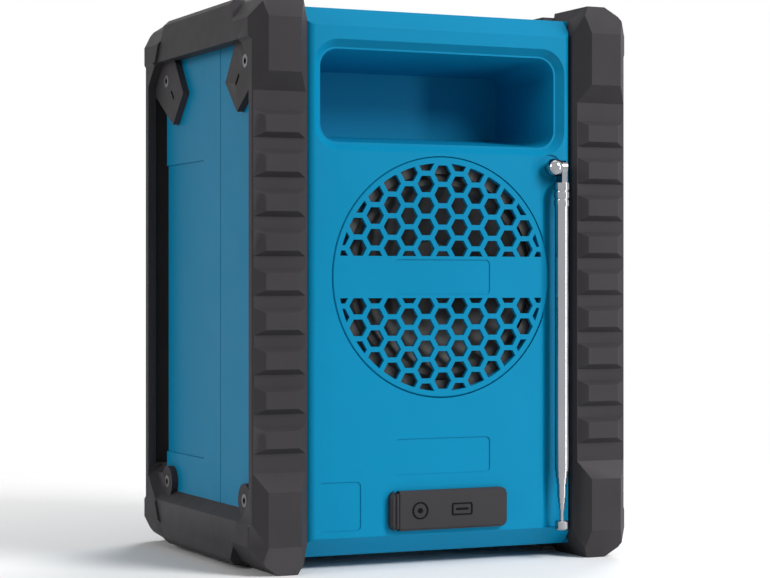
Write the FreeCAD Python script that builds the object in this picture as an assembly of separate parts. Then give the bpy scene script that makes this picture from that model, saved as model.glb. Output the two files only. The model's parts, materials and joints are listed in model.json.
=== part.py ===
"""Jobsite radio: a blue two-part housing between two black bumper frames.

Millimetres. X runs across the radio, the rear face looks along +Y, Z is up,
and the origin is the centre of the base.
"""
import FreeCAD, Part
import math
import os

V = FreeCAD.Vector

# Overall size
HEIGHT = 238.0
DEPTH = 146.0
WIDTH = 176.0
MIDDLE = HEIGHT / 2

# Housing
FLOOR_GAP = 5.5
BUMPER_STAND = 8.0
LEDGE_WIDTH = 18.0
SIDE_X = WIDTH / 2 - BUMPER_STAND
PANEL_X = SIDE_X - LEDGE_WIDTH
PANEL_SINK = 8.0
LEDGE_STEP = 8.0
EDGE_CUT = 8.0
PANEL_FILLET = 4.0
WALL = 3.2
SEAM_Y = 13.0
SEAM_REVEAL = 0.5
PANEL_Y = DEPTH / 2 - PANEL_SINK
LEDGE_Y = PANEL_Y - LEDGE_STEP
BASE_Z = FLOOR_GAP
TOP_Z = HEIGHT - FLOOR_GAP
INNER_PANEL_Y = PANEL_Y - WALL
INNER_FLOOR_Z = BASE_Z + WALL
SEAL_INSET = 1.0
SEAL_SIZE = 1.2
SIDE_PANEL_HEIGHT = 130.0
SIDE_PANEL_DROP = 12.0
SIDE_PANEL_END_Y = -8.0
SIDE_PANEL_SINK = 0.8
FIT_GAP = 0.15

# Hand recess in the rear face
RECESS_SIDE_GAP = 3.5
RECESS_HALF_WIDTH = PANEL_X - RECESS_SIDE_GAP
RECESS_DROP = 65.0
RECESS_LOW_Z = HEIGHT - RECESS_DROP
RECESS_HEIGHT = 46.0
RECESS_RIM = 3.0
RECESS_DEPTH = 47.0
RECESS_DRAFT = 6.0
RECESS_CORNER = 11.0

# Speaker grilles
GRILLE_DROP = 52.0
GRILLE_Z = RECESS_LOW_Z - GRILLE_DROP
GRILLE_R = 50.4
GRILLE_OPEN_R = 47.9
GRILLE_THICK = 2.0
GRILLE_LEDGE = 1.2
GRILLE_GROOVE = 0.4
BAND_HALF = 8.75
HEX_PITCH = 9.0
HEX_FLATS = 6.9
HEX_FIRST = 16.5
SLIVER = 2.5
LABEL_DEPTH = 0.4
LABEL_CORNER = 2.0
BAND_LABEL_HALF = 22.3
BAND_LABEL_HEIGHT = 14.8
LOWER_LABEL_Z = 46.0
LOWER_LABEL_HEIGHT = 15.1
SIDE_LABEL_X = 47.1
SIDE_LABEL_Z = 26.3
SIDE_LABEL_WIDTH = 18.8
SIDE_LABEL_HEIGHT = 20.4

# Front speaker and its grille
SPEAKER_DROP = 146.0
SPEAKER_Z = HEIGHT - SPEAKER_DROP
FRONT_GRILLE_R = 54.0
FRONT_OPEN_R = 51.0
CONE_EDGE_R = 38.0
SURROUND_WIDTH = 6.5
FLANGE_R = 52.0
FLANGE_THICK = 2.0
BASKET_DEPTH = 26.0
BASKET_WALL = 1.5
MAGNET_R = 32.0
MAGNET_THICK = 14.0
CONE_THICK = 0.8
CONE_DEPTH = 16.0
CAP_R = 14.0
CAP_HEIGHT = 5.0
FLANGE_SCREW_COUNT = 4
FLANGE_SCREW_R = 1.5
FLANGE_SCREW_HEAD_R = 2.8
FLANGE_SCREW_HEAD = 1.8
FLANGE_SCREW_INSET = 3.2
FLANGE_BOSS_DEPTH = 0.9

# Rear passive radiator
PASSIVE_FLANGE_R = 49.6
PASSIVE_CONE_R = 37.0
PASSIVE_DEPTH = 9.0
PASSIVE_HUB_R = 15.0

# Bumper frames
BAR_INNER_X = PANEL_X
BAR_STEP = 5.5
BAR_FACE_Y = DEPTH / 2 - BAR_STEP
CORNER_FACE_Y = DEPTH / 2
BUMPER_X = WIDTH / 2
BAR_SIDE_STEP = 1.2
BAR_SIDE_X = BUMPER_X - BAR_SIDE_STEP
CORNER_DROP = 34.2
CORNER_LOW_Z = HEIGHT - CORNER_DROP
CORNER_SLOPE_DROP = 41.6
CORNER_SLOPE_Z = HEIGHT - CORNER_SLOPE_DROP
CORNER_BEVEL = 12.0
CORNER_HIGH_Z = HEIGHT - CORNER_BEVEL
CORNER_TOP_INSET = 4.0
CORNER_TOP_LENGTH = 29.0
CORNER_TOP_Y = CORNER_FACE_Y - CORNER_TOP_LENGTH
CORNER_END_TAPER = 4.0
CORNER_END_Y = CORNER_TOP_Y - CORNER_END_TAPER
CORNER_SIDE_TAPER = 7.0
CORNER_SIDE_Y = CORNER_TOP_Y + CORNER_SIDE_TAPER
CORNER_BEVEL_X = 5.5
TOP_BAR_SINK = 2.0
TOP_BAR_LAP = 1.0
TOP_INNER_X = BAR_INNER_X - TOP_BAR_LAP
CORE_BEVEL = 2.2
RIB_PITCH = 16.0
RIB_BASE = 11.2
RIB_FLAT = 6.9
RIB_HEIGHT = 2.8
RIB_END_GAP = 4.0
RIB_INNER_GAP = 1.6
RIB_BASE_INNER_X = BAR_INNER_X + RIB_INNER_GAP
RIB_OUTER_GAP = 1.8
RIB_BASE_OUTER_X = BUMPER_X - RIB_OUTER_GAP
RIB_INNER_BEVEL = 5.5
RIB_FLAT_INNER_X = BAR_INNER_X + RIB_INNER_BEVEL
RIB_OUTER_BEVEL = 6.2
RIB_FLAT_OUTER_X = BUMPER_X - RIB_OUTER_BEVEL
UPRIGHT_DEPTH = 9.5
WINDOW_Y = DEPTH / 2 - UPRIGHT_DEPTH
TOP_BAR_HEIGHT = 19.7
WINDOW_HIGH_Z = HEIGHT - TOP_BAR_HEIGHT
SILL_Z = 25.0
SILL_FLARE = 5.0
WINDOW_CORNER = 10.0
GROOVE_SINK = 4.0
GROOVE_INNER_X = SIDE_X - GROOVE_SINK
GROOVE_RISE = 3.0
GROOVE_OUTER_X = SIDE_X + GROOVE_RISE
GROOVE_WALL = 1.8
GROOVE_Y = BAR_FACE_Y - GROOVE_WALL
GROOVE_LOW_Z = 36.5
GROOVE_DROP = 34.0
GROOVE_HIGH_Z = HEIGHT - GROOVE_DROP
TAB_THICK = 3.0
TAB_SCREW_INSET = 23.5
TAB_SCREW_Y = DEPTH / 2 - TAB_SCREW_INSET
TAB_SCREW_DROP = 28.2
TAB_SCREW_Z = HEIGHT - TAB_SCREW_DROP
TAB_SLOT_STEP = 8.8
TAB_SLOT_Y = TAB_SCREW_Y - TAB_SLOT_STEP
TAB_SLOT_DROP = 7.0
TAB_SLOT_Z = TAB_SCREW_Z - TAB_SLOT_DROP
TAB_SLOT_LENGTH = 5.6
TAB_SLOT_WIDTH = 1.7
TAB_SLOT_DEPTH = 1.6
TAB_POINT_REACH = 23.0
TAB_POINT_Y = TAB_SCREW_Y - TAB_POINT_REACH
TAB_POINT_DROP = 7.1
TAB_POINT_Z = TAB_SCREW_Z - TAB_POINT_DROP
TAB_TIP_REACH = 9.3
TAB_TIP_Y = TAB_SCREW_Y - TAB_TIP_REACH
TAB_TIP_DROP = 20.3
TAB_TIP_Z = TAB_SCREW_Z - TAB_TIP_DROP
TAB_NECK_DROP = 4.6
EAR_SCREW_INSET = 24.5
EAR_SCREW_Y = DEPTH / 2 - EAR_SCREW_INSET
EAR_SCREW_Z = 29.0
EAR_R = 7.0
SCREW_HEAD_R = 2.85
SCREW_HEAD = 1.8
SCREW_SHANK_R = 1.5
SCREW_LENGTH = 9.0
SCREW_SOCKET_FLATS = 2.5
SCREW_SOCKET_DEPTH = 1.1
SCREW_BOSS_R = 4.0
SCREW_FIT = 0.05

# Screws that draw the two housings together, under the bumper bars
HOUSING_SCREW_INSET = 9.0
HOUSING_SCREW_X = SIDE_X - HOUSING_SCREW_INSET
HOUSING_SCREW_RISE = 14.0
HOUSING_BOSS_R = 5.0
HOUSING_HEAD_R = 3.0
HOUSING_HEAD = 2.5
HOUSING_HEAD_SEAT = 7.0
HOUSING_SCREW_LENGTH = 17.0

# Telescopic antenna
PIVOT_INSET = 10.5
PIVOT_X = PIVOT_INSET - PANEL_X
PIVOT_DROP = 5.0
PIVOT_Z = RECESS_LOW_Z - PIVOT_DROP
PIVOT_STAND = 3.9
BALL_R = 4.0
TONGUE_THICK = 2.5
TONGUE_R = 3.2
TONGUE_GAP = 0.05
BALL_CUT = 2.15
PIVOT_PIN_R = 1.0
PIVOT_PIN_FIT = 0.05
PIVOT_HEAD_R = 1.8
PIVOT_HEAD = 0.6
BASE_POST_R = 2.5
BOSS_RING_R = 5.7
BOSS_RING_DEPTH = 0.6
TUBE_R = 3.0
TUBE_WALL = 0.3
TUBE_FIT = 0.05
TUBE_TOP_DROP = 6.5
TUBE_BOTTOM_Z = 38.0
COLLAR_R = 3.35
COLLAR_LENGTH = 10.0
COLLAR_GROOVE = 0.45
PLUG_LENGTH = 7.0
INNER_TOP_GAP = 1.0
STAGE_OVERLAP = 10.0
STAGE_SHOWS = (2.9, 2.6, 5.9, 2.4, 2.8)
ROD_SHOWS = 4.7
TIP_R = 2.9
TIP_HEIGHT = 4.0
TROUGH_R = 10.0
TROUGH_AXIS_OUT = 7.0
TROUGH_TOP_DROP = 14.0

# Ports in the rear face and their rubber cover
COVER_LEFT_X = 25.4
COVER_RIGHT_X = -29.2
COVER_LOW_Z = 15.4
COVER_HEIGHT = 16.6
COVER_THICK = 3.1
COVER_EDGE = 1.0
COVER_CORNER = 3.0
COVER_ANCHOR = 3.2
COVER_BARREL_R = 1.0
COVER_SWING_R = 1.6
COVER_WEB = 0.9
PORT_MARGIN = 2.0
PLUG_RIM_DEPTH = 1.6
PLUG_RIM_WALL = 1.6
PLUG_CLEARANCE = 0.6
TRAY_THICK = 2.0
TRAY_MARGIN = 2.5
PORT_Z = 23.7
AUX_X = 14.0
RESET_X = 6.0
DC_X = -3.0
USB_X = -16.5
JACK_DEPTH = 13.0
JACK_BODY = 9.0
AUX_BORE_R = 1.8
DC_BORE_R = 2.8
DC_PIN_R = 0.9
BUSH_R = 3.6
USB_WIDTH = 13.2
USB_HEIGHT = 5.8
USB_WALL = 0.4
USB_TONGUE = 1.9
RESET_R = 1.2
RESET_TRAVEL = 0.6
BOARD_THICK = 1.6
SWITCH_BODY = 3.0

# Control panel in the front face
CONTROL_INSET = 7.0
CONTROL_HALF = PANEL_X - CONTROL_INSET
CONTROL_DROP = 84.0
CONTROL_LOW_Z = HEIGHT - CONTROL_DROP
CONTROL_HEIGHT = 66.0
CONTROL_THICK = 3.0
CONTROL_PROUD = 1.0
CONTROL_LEDGE = 2.5
CONTROL_CORNER = 6.0
WINDOW_INSET = 9.0
WINDOW_END_X = 10.0
WINDOW_WIDTH = CONTROL_HALF - WINDOW_INSET + WINDOW_END_X
WINDOW_X = WINDOW_END_X - WINDOW_WIDTH / 2
WINDOW_RISE = 24.0
WINDOW_LOW_Z = CONTROL_LOW_Z + WINDOW_RISE
WINDOW_HEIGHT = 32.0
LENS_MARGIN = 1.5
LENS_THICK = 1.0
LCD_MARGIN = 1.0
LCD_SINK = 0.3
KNOB_INSET = 21.0
KNOB_X = CONTROL_HALF - KNOB_INSET
KNOB_RISE = 40.0
KNOB_Z = CONTROL_LOW_Z + KNOB_RISE
KNOB_R = 13.0
KNOB_HEIGHT = 6.2
KNOB_GAP = 0.6
KNOB_FLUTES = 24
KNOB_FLUTE_R = 0.9
KNOB_DISH = 0.6
KNOB_DISH_R = 9.5
SHAFT_R = 3.0
SHAFT_FIT = 0.05
SHAFT_DEPTH = 3.6
ENCODER_SIZE = 12.0
BUTTON_NAMES = ("power", "mode", "seek_down", "seek_up", "preset", "light")
BUTTON_RISE = 11.0
BUTTON_Z = CONTROL_LOW_Z + BUTTON_RISE
BUTTON_INSET = 17.5
BUTTON_GAP = 3.0
BUTTON_PITCH = 2 * (CONTROL_HALF - BUTTON_INSET) / (len(BUTTON_NAMES) - 1)
BUTTON_WIDTH = BUTTON_PITCH - BUTTON_GAP
BUTTON_HEIGHT = 7.0
BUTTON_CORNER = 2.0
BUTTON_PROUD = 1.6
BUTTON_TRAVEL = 1.0
BUTTON_FLANGE = 1.0
BUTTON_STOP_GAP = 0.1
SWITCH_SIZE = 6.0
STANDOFF_R = 2.5
STANDOFF_INSET = 5.0
BOARD_DROP = 4.8
BOARD_MARGIN = 1.5

# Chassis, main board and battery inside
CHASSIS_Y = 2.0
CHASSIS_THICK = 2.0
CHASSIS_INSET = 20.0
CHASSIS_HALF = SIDE_X - CHASSIS_INSET
CHASSIS_HEIGHT = 120.0
CHASSIS_FOOT = 8.0
BATTERY_HALF = 36.0
BATTERY_HEIGHT = 38.0
BATTERY_DEPTH = 19.5
CELL_R = 9.2
MAIN_HALF = 45.0
MAIN_LOW_Z = 54.0
MAIN_HEIGHT = 68.0
SPACER_LENGTH = 7.0
SPACER_R = 3.0
SHIELD_SIZE = 24.0
SHIELD_HEIGHT = 3.0
CAPACITOR_R = 3.5
CAPACITOR_HEIGHT = 5.0
CAPACITOR_COUNT = 3
CAPACITOR_PITCH = 9.0

DEEP = 400.0


def box(low, high):
    """A box between two opposite corners."""
    size = [b - a for a, b in zip(low, high)]
    return Part.makeBox(size[0], size[1], size[2], V(*low))


def cylinder(start, direction, radius, length):
    """A cylinder from its start along one direction."""
    return Part.makeCylinder(radius, length, V(*start), V(*direction))


def place(axis, along, first, second):
    """A point given along one axis and by its two other coordinates."""
    if axis == "x":
        return V(along, first, second)
    if axis == "y":
        return V(first, along, second)
    return V(first, second, along)


def outline(axis, along, points):
    """A closed outline in the plane across one axis."""
    corners = [place(axis, along, a, b) for a, b in points]
    return Part.makePolygon(corners + corners[:1])


def prism(axis, low, high, points):
    """An outline drawn out along one axis."""
    face = Part.Face(outline(axis, low, points))
    return face.extrude(place(axis, high - low, 0, 0))


def loft(axis, low, low_points, high, high_points):
    """A straight-sided solid between two outlines."""
    wires = [outline(axis, low, low_points), outline(axis, high, high_points)]
    return Part.makeLoft(wires, True, True)


def rectangle(x0, x1, z0, z1):
    """The corners of a rectangle."""
    return [(x0, z0), (x1, z0), (x1, z1), (x0, z1)]


def rounded_box(low, high, radius, axis="y"):
    """A box whose four edges along one axis are rounded."""
    solid = box(low, high)
    index = "xyz".index(axis)
    edges = []
    for edge in solid.Edges:
        span = [edge.BoundBox.XLength, edge.BoundBox.YLength, edge.BoundBox.ZLength]
        if span[index] > 0.9 * (high[index] - low[index]):
            edges.append(edge)
    return solid.makeFillet(radius, edges)


def rounded_outline(y, half_x, z0, z1, radius):
    """A rounded rectangle in a plane across Y."""
    lines = []
    for sx, sz, start in ((1, 1, 0), (-1, 1, 90), (-1, -1, 180), (1, -1, 270)):
        centre_z = z1 - radius if sz > 0 else z0 + radius
        points = []
        for turn in (0, 45, 90):
            angle = math.radians(start + turn)
            x = sx * (half_x - radius) + radius * math.cos(angle)
            points.append(V(x, y, centre_z + radius * math.sin(angle)))
        lines.append((Part.Arc(*points).toShape(), points))
    edges = []
    for index, (arc, points) in enumerate(lines):
        edges.append(arc)
        following = lines[(index + 1) % len(lines)][1]
        edges.append(Part.LineSegment(points[2], following[0]).toShape())
    return Part.Wire(edges)


def turned(points, centre_x, centre_z):
    """A profile of (radius, y) pairs turned about a line along Y."""
    profile = [V(centre_x + r, y, centre_z) for r, y in points]
    face = Part.Face(Part.makePolygon(profile + profile[:1]))
    return face.revolve(V(centre_x, 0, centre_z), V(0, 1, 0), 360)


def hexagon(x, z, y, depth, flats):
    """A hexagonal prism along Y with two flats level."""
    radius = flats / math.sqrt(3)
    corners = []
    for step in range(6):
        angle = math.radians(60 * step)
        corners.append((x + radius * math.cos(angle), z + radius * math.sin(angle)))
    return prism("y", y, y + depth, corners)


def mirrored_x(shape):
    return shape.mirror(V(0, 0, 0), V(1, 0, 0))


def mirrored_y(shape):
    return shape.mirror(V(0, 0, 0), V(0, 1, 0))


def joined(shapes):
    """Several overlapping shapes as one solid."""
    return shapes[0].multiFuse(shapes[1:]).removeSplitter()


def grouped(shapes):
    """Several separate solids in one node."""
    return Part.makeCompound(shapes)


def save(name, shape):
    solids = shape.Solids
    result = solids[0] if len(solids) == 1 else Part.makeCompound(solids)
    result.exportStep("parts/" + name + ".step")
    print(name, len(solids), "valid" if result.isValid() else "NOT VALID", round(result.Volume, 1))


def housing_block(inset):
    """The whole housing as one solid, with every face moved in by one inset."""
    panel_x = PANEL_X - inset
    side_x = SIDE_X - inset
    panel_y = PANEL_Y - inset
    ledge_y = LEDGE_Y - inset
    corner = [(panel_x, panel_y), (panel_x, ledge_y), (side_x, ledge_y)]
    plan = corner + [(x, -y) for x, y in reversed(corner)]
    plan += [(-x, -y) for x, y in corner] + [(-x, y) for x, y in reversed(corner)]
    body = prism("z", BASE_Z + inset, TOP_Z - inset, plan)
    upright = []
    for edge in body.Edges:
        point = edge.CenterOfMass
        at_corner = abs(abs(point.x) - panel_x) < 0.01 and abs(abs(point.y) - panel_y) < 0.01
        if at_corner and edge.BoundBox.ZLength > 1:
            upright.append(edge)
    body = body.makeFillet(PANEL_FILLET - min(inset, PANEL_FILLET / 2), upright)
    cut = EDGE_CUT - inset * (2 - math.sqrt(2))
    low = BASE_Z + inset
    high = TOP_Z - inset
    side = [(panel_y, low + cut), (panel_y, high - cut), (panel_y - cut, high)]
    side += [(cut - panel_y, high), (-panel_y, high - cut), (-panel_y, low + cut)]
    side += [(cut - panel_y, low), (panel_y - cut, low)]
    return body.common(prism("x", -DEEP, DEEP, side))


def between(shape, y0, y1):
    """The part of a shape between two planes across Y."""
    return shape.common(box((-DEEP, y0, -DEEP), (DEEP, y1, DEEP)))


def seal_ring():
    ring = housing_block(SEAL_INSET).cut(housing_block(SEAL_INSET + SEAL_SIZE))
    return between(ring, SEAM_Y - SEAL_SIZE, SEAM_Y)


def recess(grow):
    """The hand recess, or the pocket wall round it when grown."""
    rim_low = RECESS_LOW_Z + RECESS_RIM - grow
    rim_high = RECESS_LOW_Z + RECESS_HEIGHT - RECESS_RIM + grow
    rim_half = RECESS_HALF_WIDTH - RECESS_RIM + grow
    corner = RECESS_CORNER - RECESS_RIM + grow
    back_y = PANEL_Y - RECESS_DEPTH - grow
    back = rounded_outline(back_y, rim_half - RECESS_DRAFT, rim_low + RECESS_DRAFT,
                           rim_high - RECESS_DRAFT, corner - RECESS_DRAFT / 2)
    front_y = PANEL_Y if grow else PANEL_Y + WALL
    front = rounded_outline(front_y, rim_half, rim_low, rim_high, corner)
    return Part.makeLoft([back, front], True, True)


def recess_rim():
    """The bevel round the mouth of the hand recess."""
    inner = rounded_outline(PANEL_Y - RECESS_RIM, RECESS_HALF_WIDTH - RECESS_RIM, RECESS_LOW_Z + RECESS_RIM,
                            RECESS_LOW_Z + RECESS_HEIGHT - RECESS_RIM, RECESS_CORNER - RECESS_RIM)
    outer = rounded_outline(PANEL_Y, RECESS_HALF_WIDTH, RECESS_LOW_Z,
                            RECESS_LOW_Z + RECESS_HEIGHT, RECESS_CORNER)
    return Part.makeLoft([inner, outer], True, True)


def recess_rim_wall():
    """What backs the bevel inside the housing."""
    low = RECESS_LOW_Z - WALL / 2
    high = RECESS_LOW_Z + RECESS_HEIGHT + WALL / 2
    half = RECESS_HALF_WIDTH
    y0 = PANEL_Y - RECESS_RIM - WALL
    return box((-half, y0, low), (half, PANEL_Y - WALL / 2, high)).common(housing_block(WALL / 2))


def trough(grow):
    """The round-bottomed channel that the folded antenna lies over."""
    axis_y = PANEL_Y + TROUGH_AXIS_OUT
    top = PIVOT_Z - TROUGH_TOP_DROP
    radius = TROUGH_R + grow
    tube = cylinder((tube_x(), axis_y, BASE_Z + EDGE_CUT), (0, 0, 1), radius, top - BASE_Z - EDGE_CUT)
    return tube.fuse(Part.makeSphere(radius, V(tube_x(), axis_y, top)))


def tube_x():
    """Where the antenna's tongue and tube stand beside the ball."""
    return PIVOT_X - BALL_CUT - TONGUE_GAP - TONGUE_THICK / 2


def pivot_y():
    return PANEL_Y + PIVOT_STAND


def label(x, z, width, height, outer_y):
    """A shallow rounded label place in a face that looks along +Y."""
    low = (x - width / 2, outer_y - LABEL_DEPTH, z - height / 2)
    high = (x + width / 2, outer_y + WALL, z + height / 2)
    return rounded_box(low, high, LABEL_CORNER)


def tab_screws():
    """The (y, z) places of one bumper's four screws."""
    return [(TAB_SCREW_Y, TAB_SCREW_Z), (-TAB_SCREW_Y, TAB_SCREW_Z),
            (EAR_SCREW_Y, EAR_SCREW_Z), (-EAR_SCREW_Y, EAR_SCREW_Z)]


def side_bosses(rear):
    """Bosses and holes for the bumper screws in one housing half."""
    bosses = []
    holes = []
    depth = SCREW_LENGTH + SCREW_HEAD_R
    for y, z in tab_screws():
        if (y > 0) != rear:
            continue
        for side in (1, -1):
            inner = side * (SIDE_X - depth)
            bosses.append(cylinder((inner, y, z), (side, 0, 0), SCREW_BOSS_R, depth - WALL / 2))
            start = (side * (SIDE_X + WALL), y, z)
            holes.append(cylinder(start, (-side, 0, 0), SCREW_SHANK_R + SCREW_FIT, WALL + SCREW_LENGTH))
    return bosses, holes


def housing_screw_places():
    return [(side * HOUSING_SCREW_X, z) for side in (1, -1)
            for z in (BASE_Z + HOUSING_SCREW_RISE, MIDDLE, TOP_Z - HOUSING_SCREW_RISE)]


def rear_shell():
    outer = housing_block(0)
    inner = housing_block(WALL)
    shell = between(outer.cut(inner), SEAM_Y, DEPTH)
    bosses, holes = side_bosses(True)
    for x, z in housing_screw_places():
        bosses.append(cylinder((x, SEAM_Y, z), (0, 1, 0), HOUSING_BOSS_R, LEDGE_Y - SEAM_Y - WALL / 2))
        holes.append(cylinder((x, SEAM_Y - WALL, z), (0, 1, 0), SCREW_SHANK_R + FIT_GAP, DEPTH))
        seat = (x, SEAM_Y + HOUSING_HEAD_SEAT, z)
        holes.append(cylinder(seat, (0, 1, 0), HOUSING_HEAD_R + FIT_GAP, DEPTH))
    backing = trough(WALL).common(housing_block(WALL / 2))
    shell = joined([shell, recess(WALL).common(outer), recess_rim_wall(), backing] + bosses)
    shell = between(shell, SEAM_Y, DEPTH)
    holes += [recess(0), recess_rim(), trough(0)]
    holes.append(cylinder((0, PANEL_Y - GRILLE_THICK, GRILLE_Z), (0, 1, 0),
                          GRILLE_R + GRILLE_GROOVE, DEPTH))
    holes.append(cylinder((0, INNER_PANEL_Y - WALL, GRILLE_Z), (0, 1, 0), GRILLE_OPEN_R, DEPTH))
    holes.append(cylinder((0, INNER_PANEL_Y - 2 * FLANGE_THICK, GRILLE_Z), (0, 1, 0),
                          PASSIVE_FLANGE_R + 2 * FIT_GAP, 2 * FLANGE_THICK))
    holes.append(box((port_right(), INNER_PANEL_Y - WALL, port_low()),
                     (port_left(), PANEL_Y + WALL, port_high())))
    holes.append(cylinder((PIVOT_X, PANEL_Y - BOSS_RING_DEPTH, PIVOT_Z), (0, 1, 0), BOSS_RING_R, WALL))
    holes.append(cylinder((PIVOT_X, INNER_PANEL_Y - WALL, PIVOT_Z), (0, 1, 0), BASE_POST_R, DEPTH))
    holes.append(cylinder((PIVOT_X, INNER_PANEL_Y, PIVOT_Z), (0, -1, 0), 2 * BASE_POST_R + FIT_GAP, 2 * WALL))
    width = 2 * BAND_LABEL_HALF
    holes.append(label(0, LOWER_LABEL_Z, width, LOWER_LABEL_HEIGHT, PANEL_Y))
    holes.append(label(SIDE_LABEL_X, SIDE_LABEL_Z, SIDE_LABEL_WIDTH, SIDE_LABEL_HEIGHT, PANEL_Y))
    return shell.cut(holes)


def port_left():
    return COVER_LEFT_X - COVER_ANCHOR - PORT_MARGIN


def port_right():
    return COVER_RIGHT_X + PORT_MARGIN


def port_low():
    return COVER_LOW_Z + PORT_MARGIN


def port_high():
    return COVER_LOW_Z + COVER_HEIGHT - PORT_MARGIN


def flange_screw_places(flange_r, centre_z):
    """Screws on the diagonals of a speaker flange."""
    reach = flange_r - FLANGE_SCREW_INSET
    places = []
    for step in range(FLANGE_SCREW_COUNT):
        angle = math.radians(45 + step * 360 / FLANGE_SCREW_COUNT)
        places.append((reach * math.cos(angle), centre_z + reach * math.sin(angle)))
    return places


def front_shell():
    outer = housing_block(0)
    inner = housing_block(WALL)
    shell = between(outer.cut(inner), -DEPTH, SEAM_Y)
    reveal = outer.cut(housing_block(SEAM_REVEAL))
    bosses, holes = side_bosses(False)
    for x, z in housing_screw_places():
        bosses.append(cylinder((x, WALL / 2 - LEDGE_Y, z), (0, 1, 0), HOUSING_BOSS_R,
                               LEDGE_Y + SEAM_Y - WALL / 2))
        holes.append(cylinder((x, SEAM_Y, z), (0, -1, 0), SCREW_SHANK_R + SCREW_FIT, HOUSING_SCREW_LENGTH))
    shell = joined([shell] + bosses)
    holes.append(between(reveal, SEAM_Y - SEAM_REVEAL, SEAM_Y))
    holes.append(seal_ring())
    holes.append(cylinder((0, -DEPTH, SPEAKER_Z), (0, 1, 0), FRONT_GRILLE_R + GRILLE_GROOVE,
                          DEPTH - PANEL_Y + GRILLE_THICK))
    holes.append(cylinder((0, -DEPTH, SPEAKER_Z), (0, 1, 0), FRONT_OPEN_R, DEPTH - INNER_PANEL_Y + WALL))
    low = (-CONTROL_HALF, -DEPTH, CONTROL_LOW_Z)
    high = (CONTROL_HALF, control_back(), CONTROL_LOW_Z + CONTROL_HEIGHT)
    holes.append(rounded_box(low, high, CONTROL_CORNER))
    low = (CONTROL_LEDGE - CONTROL_HALF, -DEPTH, CONTROL_LOW_Z + CONTROL_LEDGE)
    high = (CONTROL_HALF - CONTROL_LEDGE, WALL - INNER_PANEL_Y,
            CONTROL_LOW_Z + CONTROL_HEIGHT - CONTROL_LEDGE)
    holes.append(rounded_box(low, high, CONTROL_CORNER - CONTROL_LEDGE))
    centre = MIDDLE - SIDE_PANEL_DROP
    for side in (1, -1):
        x0, x1 = sorted((side * (SIDE_X - SIDE_PANEL_SINK), side * (SIDE_X + WALL)))
        holes.append(box((x0, -DEPTH, centre - SIDE_PANEL_HEIGHT / 2),
                         (x1, SIDE_PANEL_END_Y, centre + SIDE_PANEL_HEIGHT / 2)))
    return shell.cut(holes)


def hex_holes(radius, centre_z, first, band, y, depth):
    """Hexagonal holes inside a circle, clipped at the circle and at a level band."""
    column_step = HEX_PITCH * math.sqrt(3) / 2
    disc = cylinder((0, y, centre_z), (0, 1, 0), radius, depth)
    region = disc
    if band:
        region = disc.cut(box((-DEEP, y, centre_z - band), (DEEP, y + depth, centre_z + band)))
    reach = HEX_FLATS / math.sqrt(3)
    columns = int(radius / column_step) + 1
    rows = int(radius / HEX_PITCH) + 2
    holes = []
    for column in range(-columns, columns + 1):
        shift = first if column % 2 == 0 else first - HEX_PITCH / 2
        for row in range(-rows, rows + 1):
            for side in ((1, -1) if band else (1,)):
                x = column * column_step
                rise = shift + row * HEX_PITCH
                if band and rise + HEX_FLATS / 2 < band:
                    continue
                away = math.hypot(x, rise)
                if away - reach > radius:
                    continue
                hole = hexagon(x, centre_z + side * rise, y, depth, HEX_FLATS)
                clear = away + reach < radius and (not band or rise - HEX_FLATS / 2 > band)
                if not clear:
                    hole = hole.common(region)
                if hole.Volume > SLIVER * depth:
                    holes += hole.Solids
    return holes


def rear_grille():
    back = PANEL_Y - GRILLE_THICK
    disc = cylinder((0, back, GRILLE_Z), (0, 1, 0), GRILLE_R, GRILLE_THICK)
    disc = disc.makeChamfer(GRILLE_GROOVE, [e for e in disc.Edges if e.CenterOfMass.y > PANEL_Y - 0.1
                                            and e.BoundBox.XLength > GRILLE_R])
    holes = hex_holes(GRILLE_OPEN_R, GRILLE_Z, HEX_FIRST, BAND_HALF, back, GRILLE_THICK)
    holes.append(label(0, GRILLE_Z, 2 * BAND_LABEL_HALF, BAND_LABEL_HEIGHT, PANEL_Y))
    return disc.cut(holes)


def front_grille():
    disc = cylinder((0, -PANEL_Y, SPEAKER_Z), (0, 1, 0), FRONT_GRILLE_R, GRILLE_THICK)
    holes = hex_holes(FRONT_OPEN_R, SPEAKER_Z, 0, 0, -PANEL_Y, GRILLE_THICK)
    return disc.cut(holes)


def flange_screws(flange_r, centre_z, seat_y, direction):
    """Short screws, each with its head on the flange and its tip in the housing."""
    solids = []
    for x, z in flange_screw_places(flange_r, centre_z):
        head = cylinder((x, seat_y, z), (0, -direction, 0), FLANGE_SCREW_HEAD_R, FLANGE_SCREW_HEAD)
        length = FLANGE_THICK + FLANGE_BOSS_DEPTH
        shank = cylinder((x, seat_y, z), (0, direction, 0), FLANGE_SCREW_R, length)
        solids.append(head.fuse(shank))
    return solids


def flange_holes(flange_r, centre_z, seat_y, direction):
    """The holes those screws pass through."""
    length = FLANGE_THICK + FLANGE_BOSS_DEPTH
    return [cylinder((x, seat_y, z), (0, direction, 0), FLANGE_SCREW_R, length)
            for x, z in flange_screw_places(flange_r, centre_z)]


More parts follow.
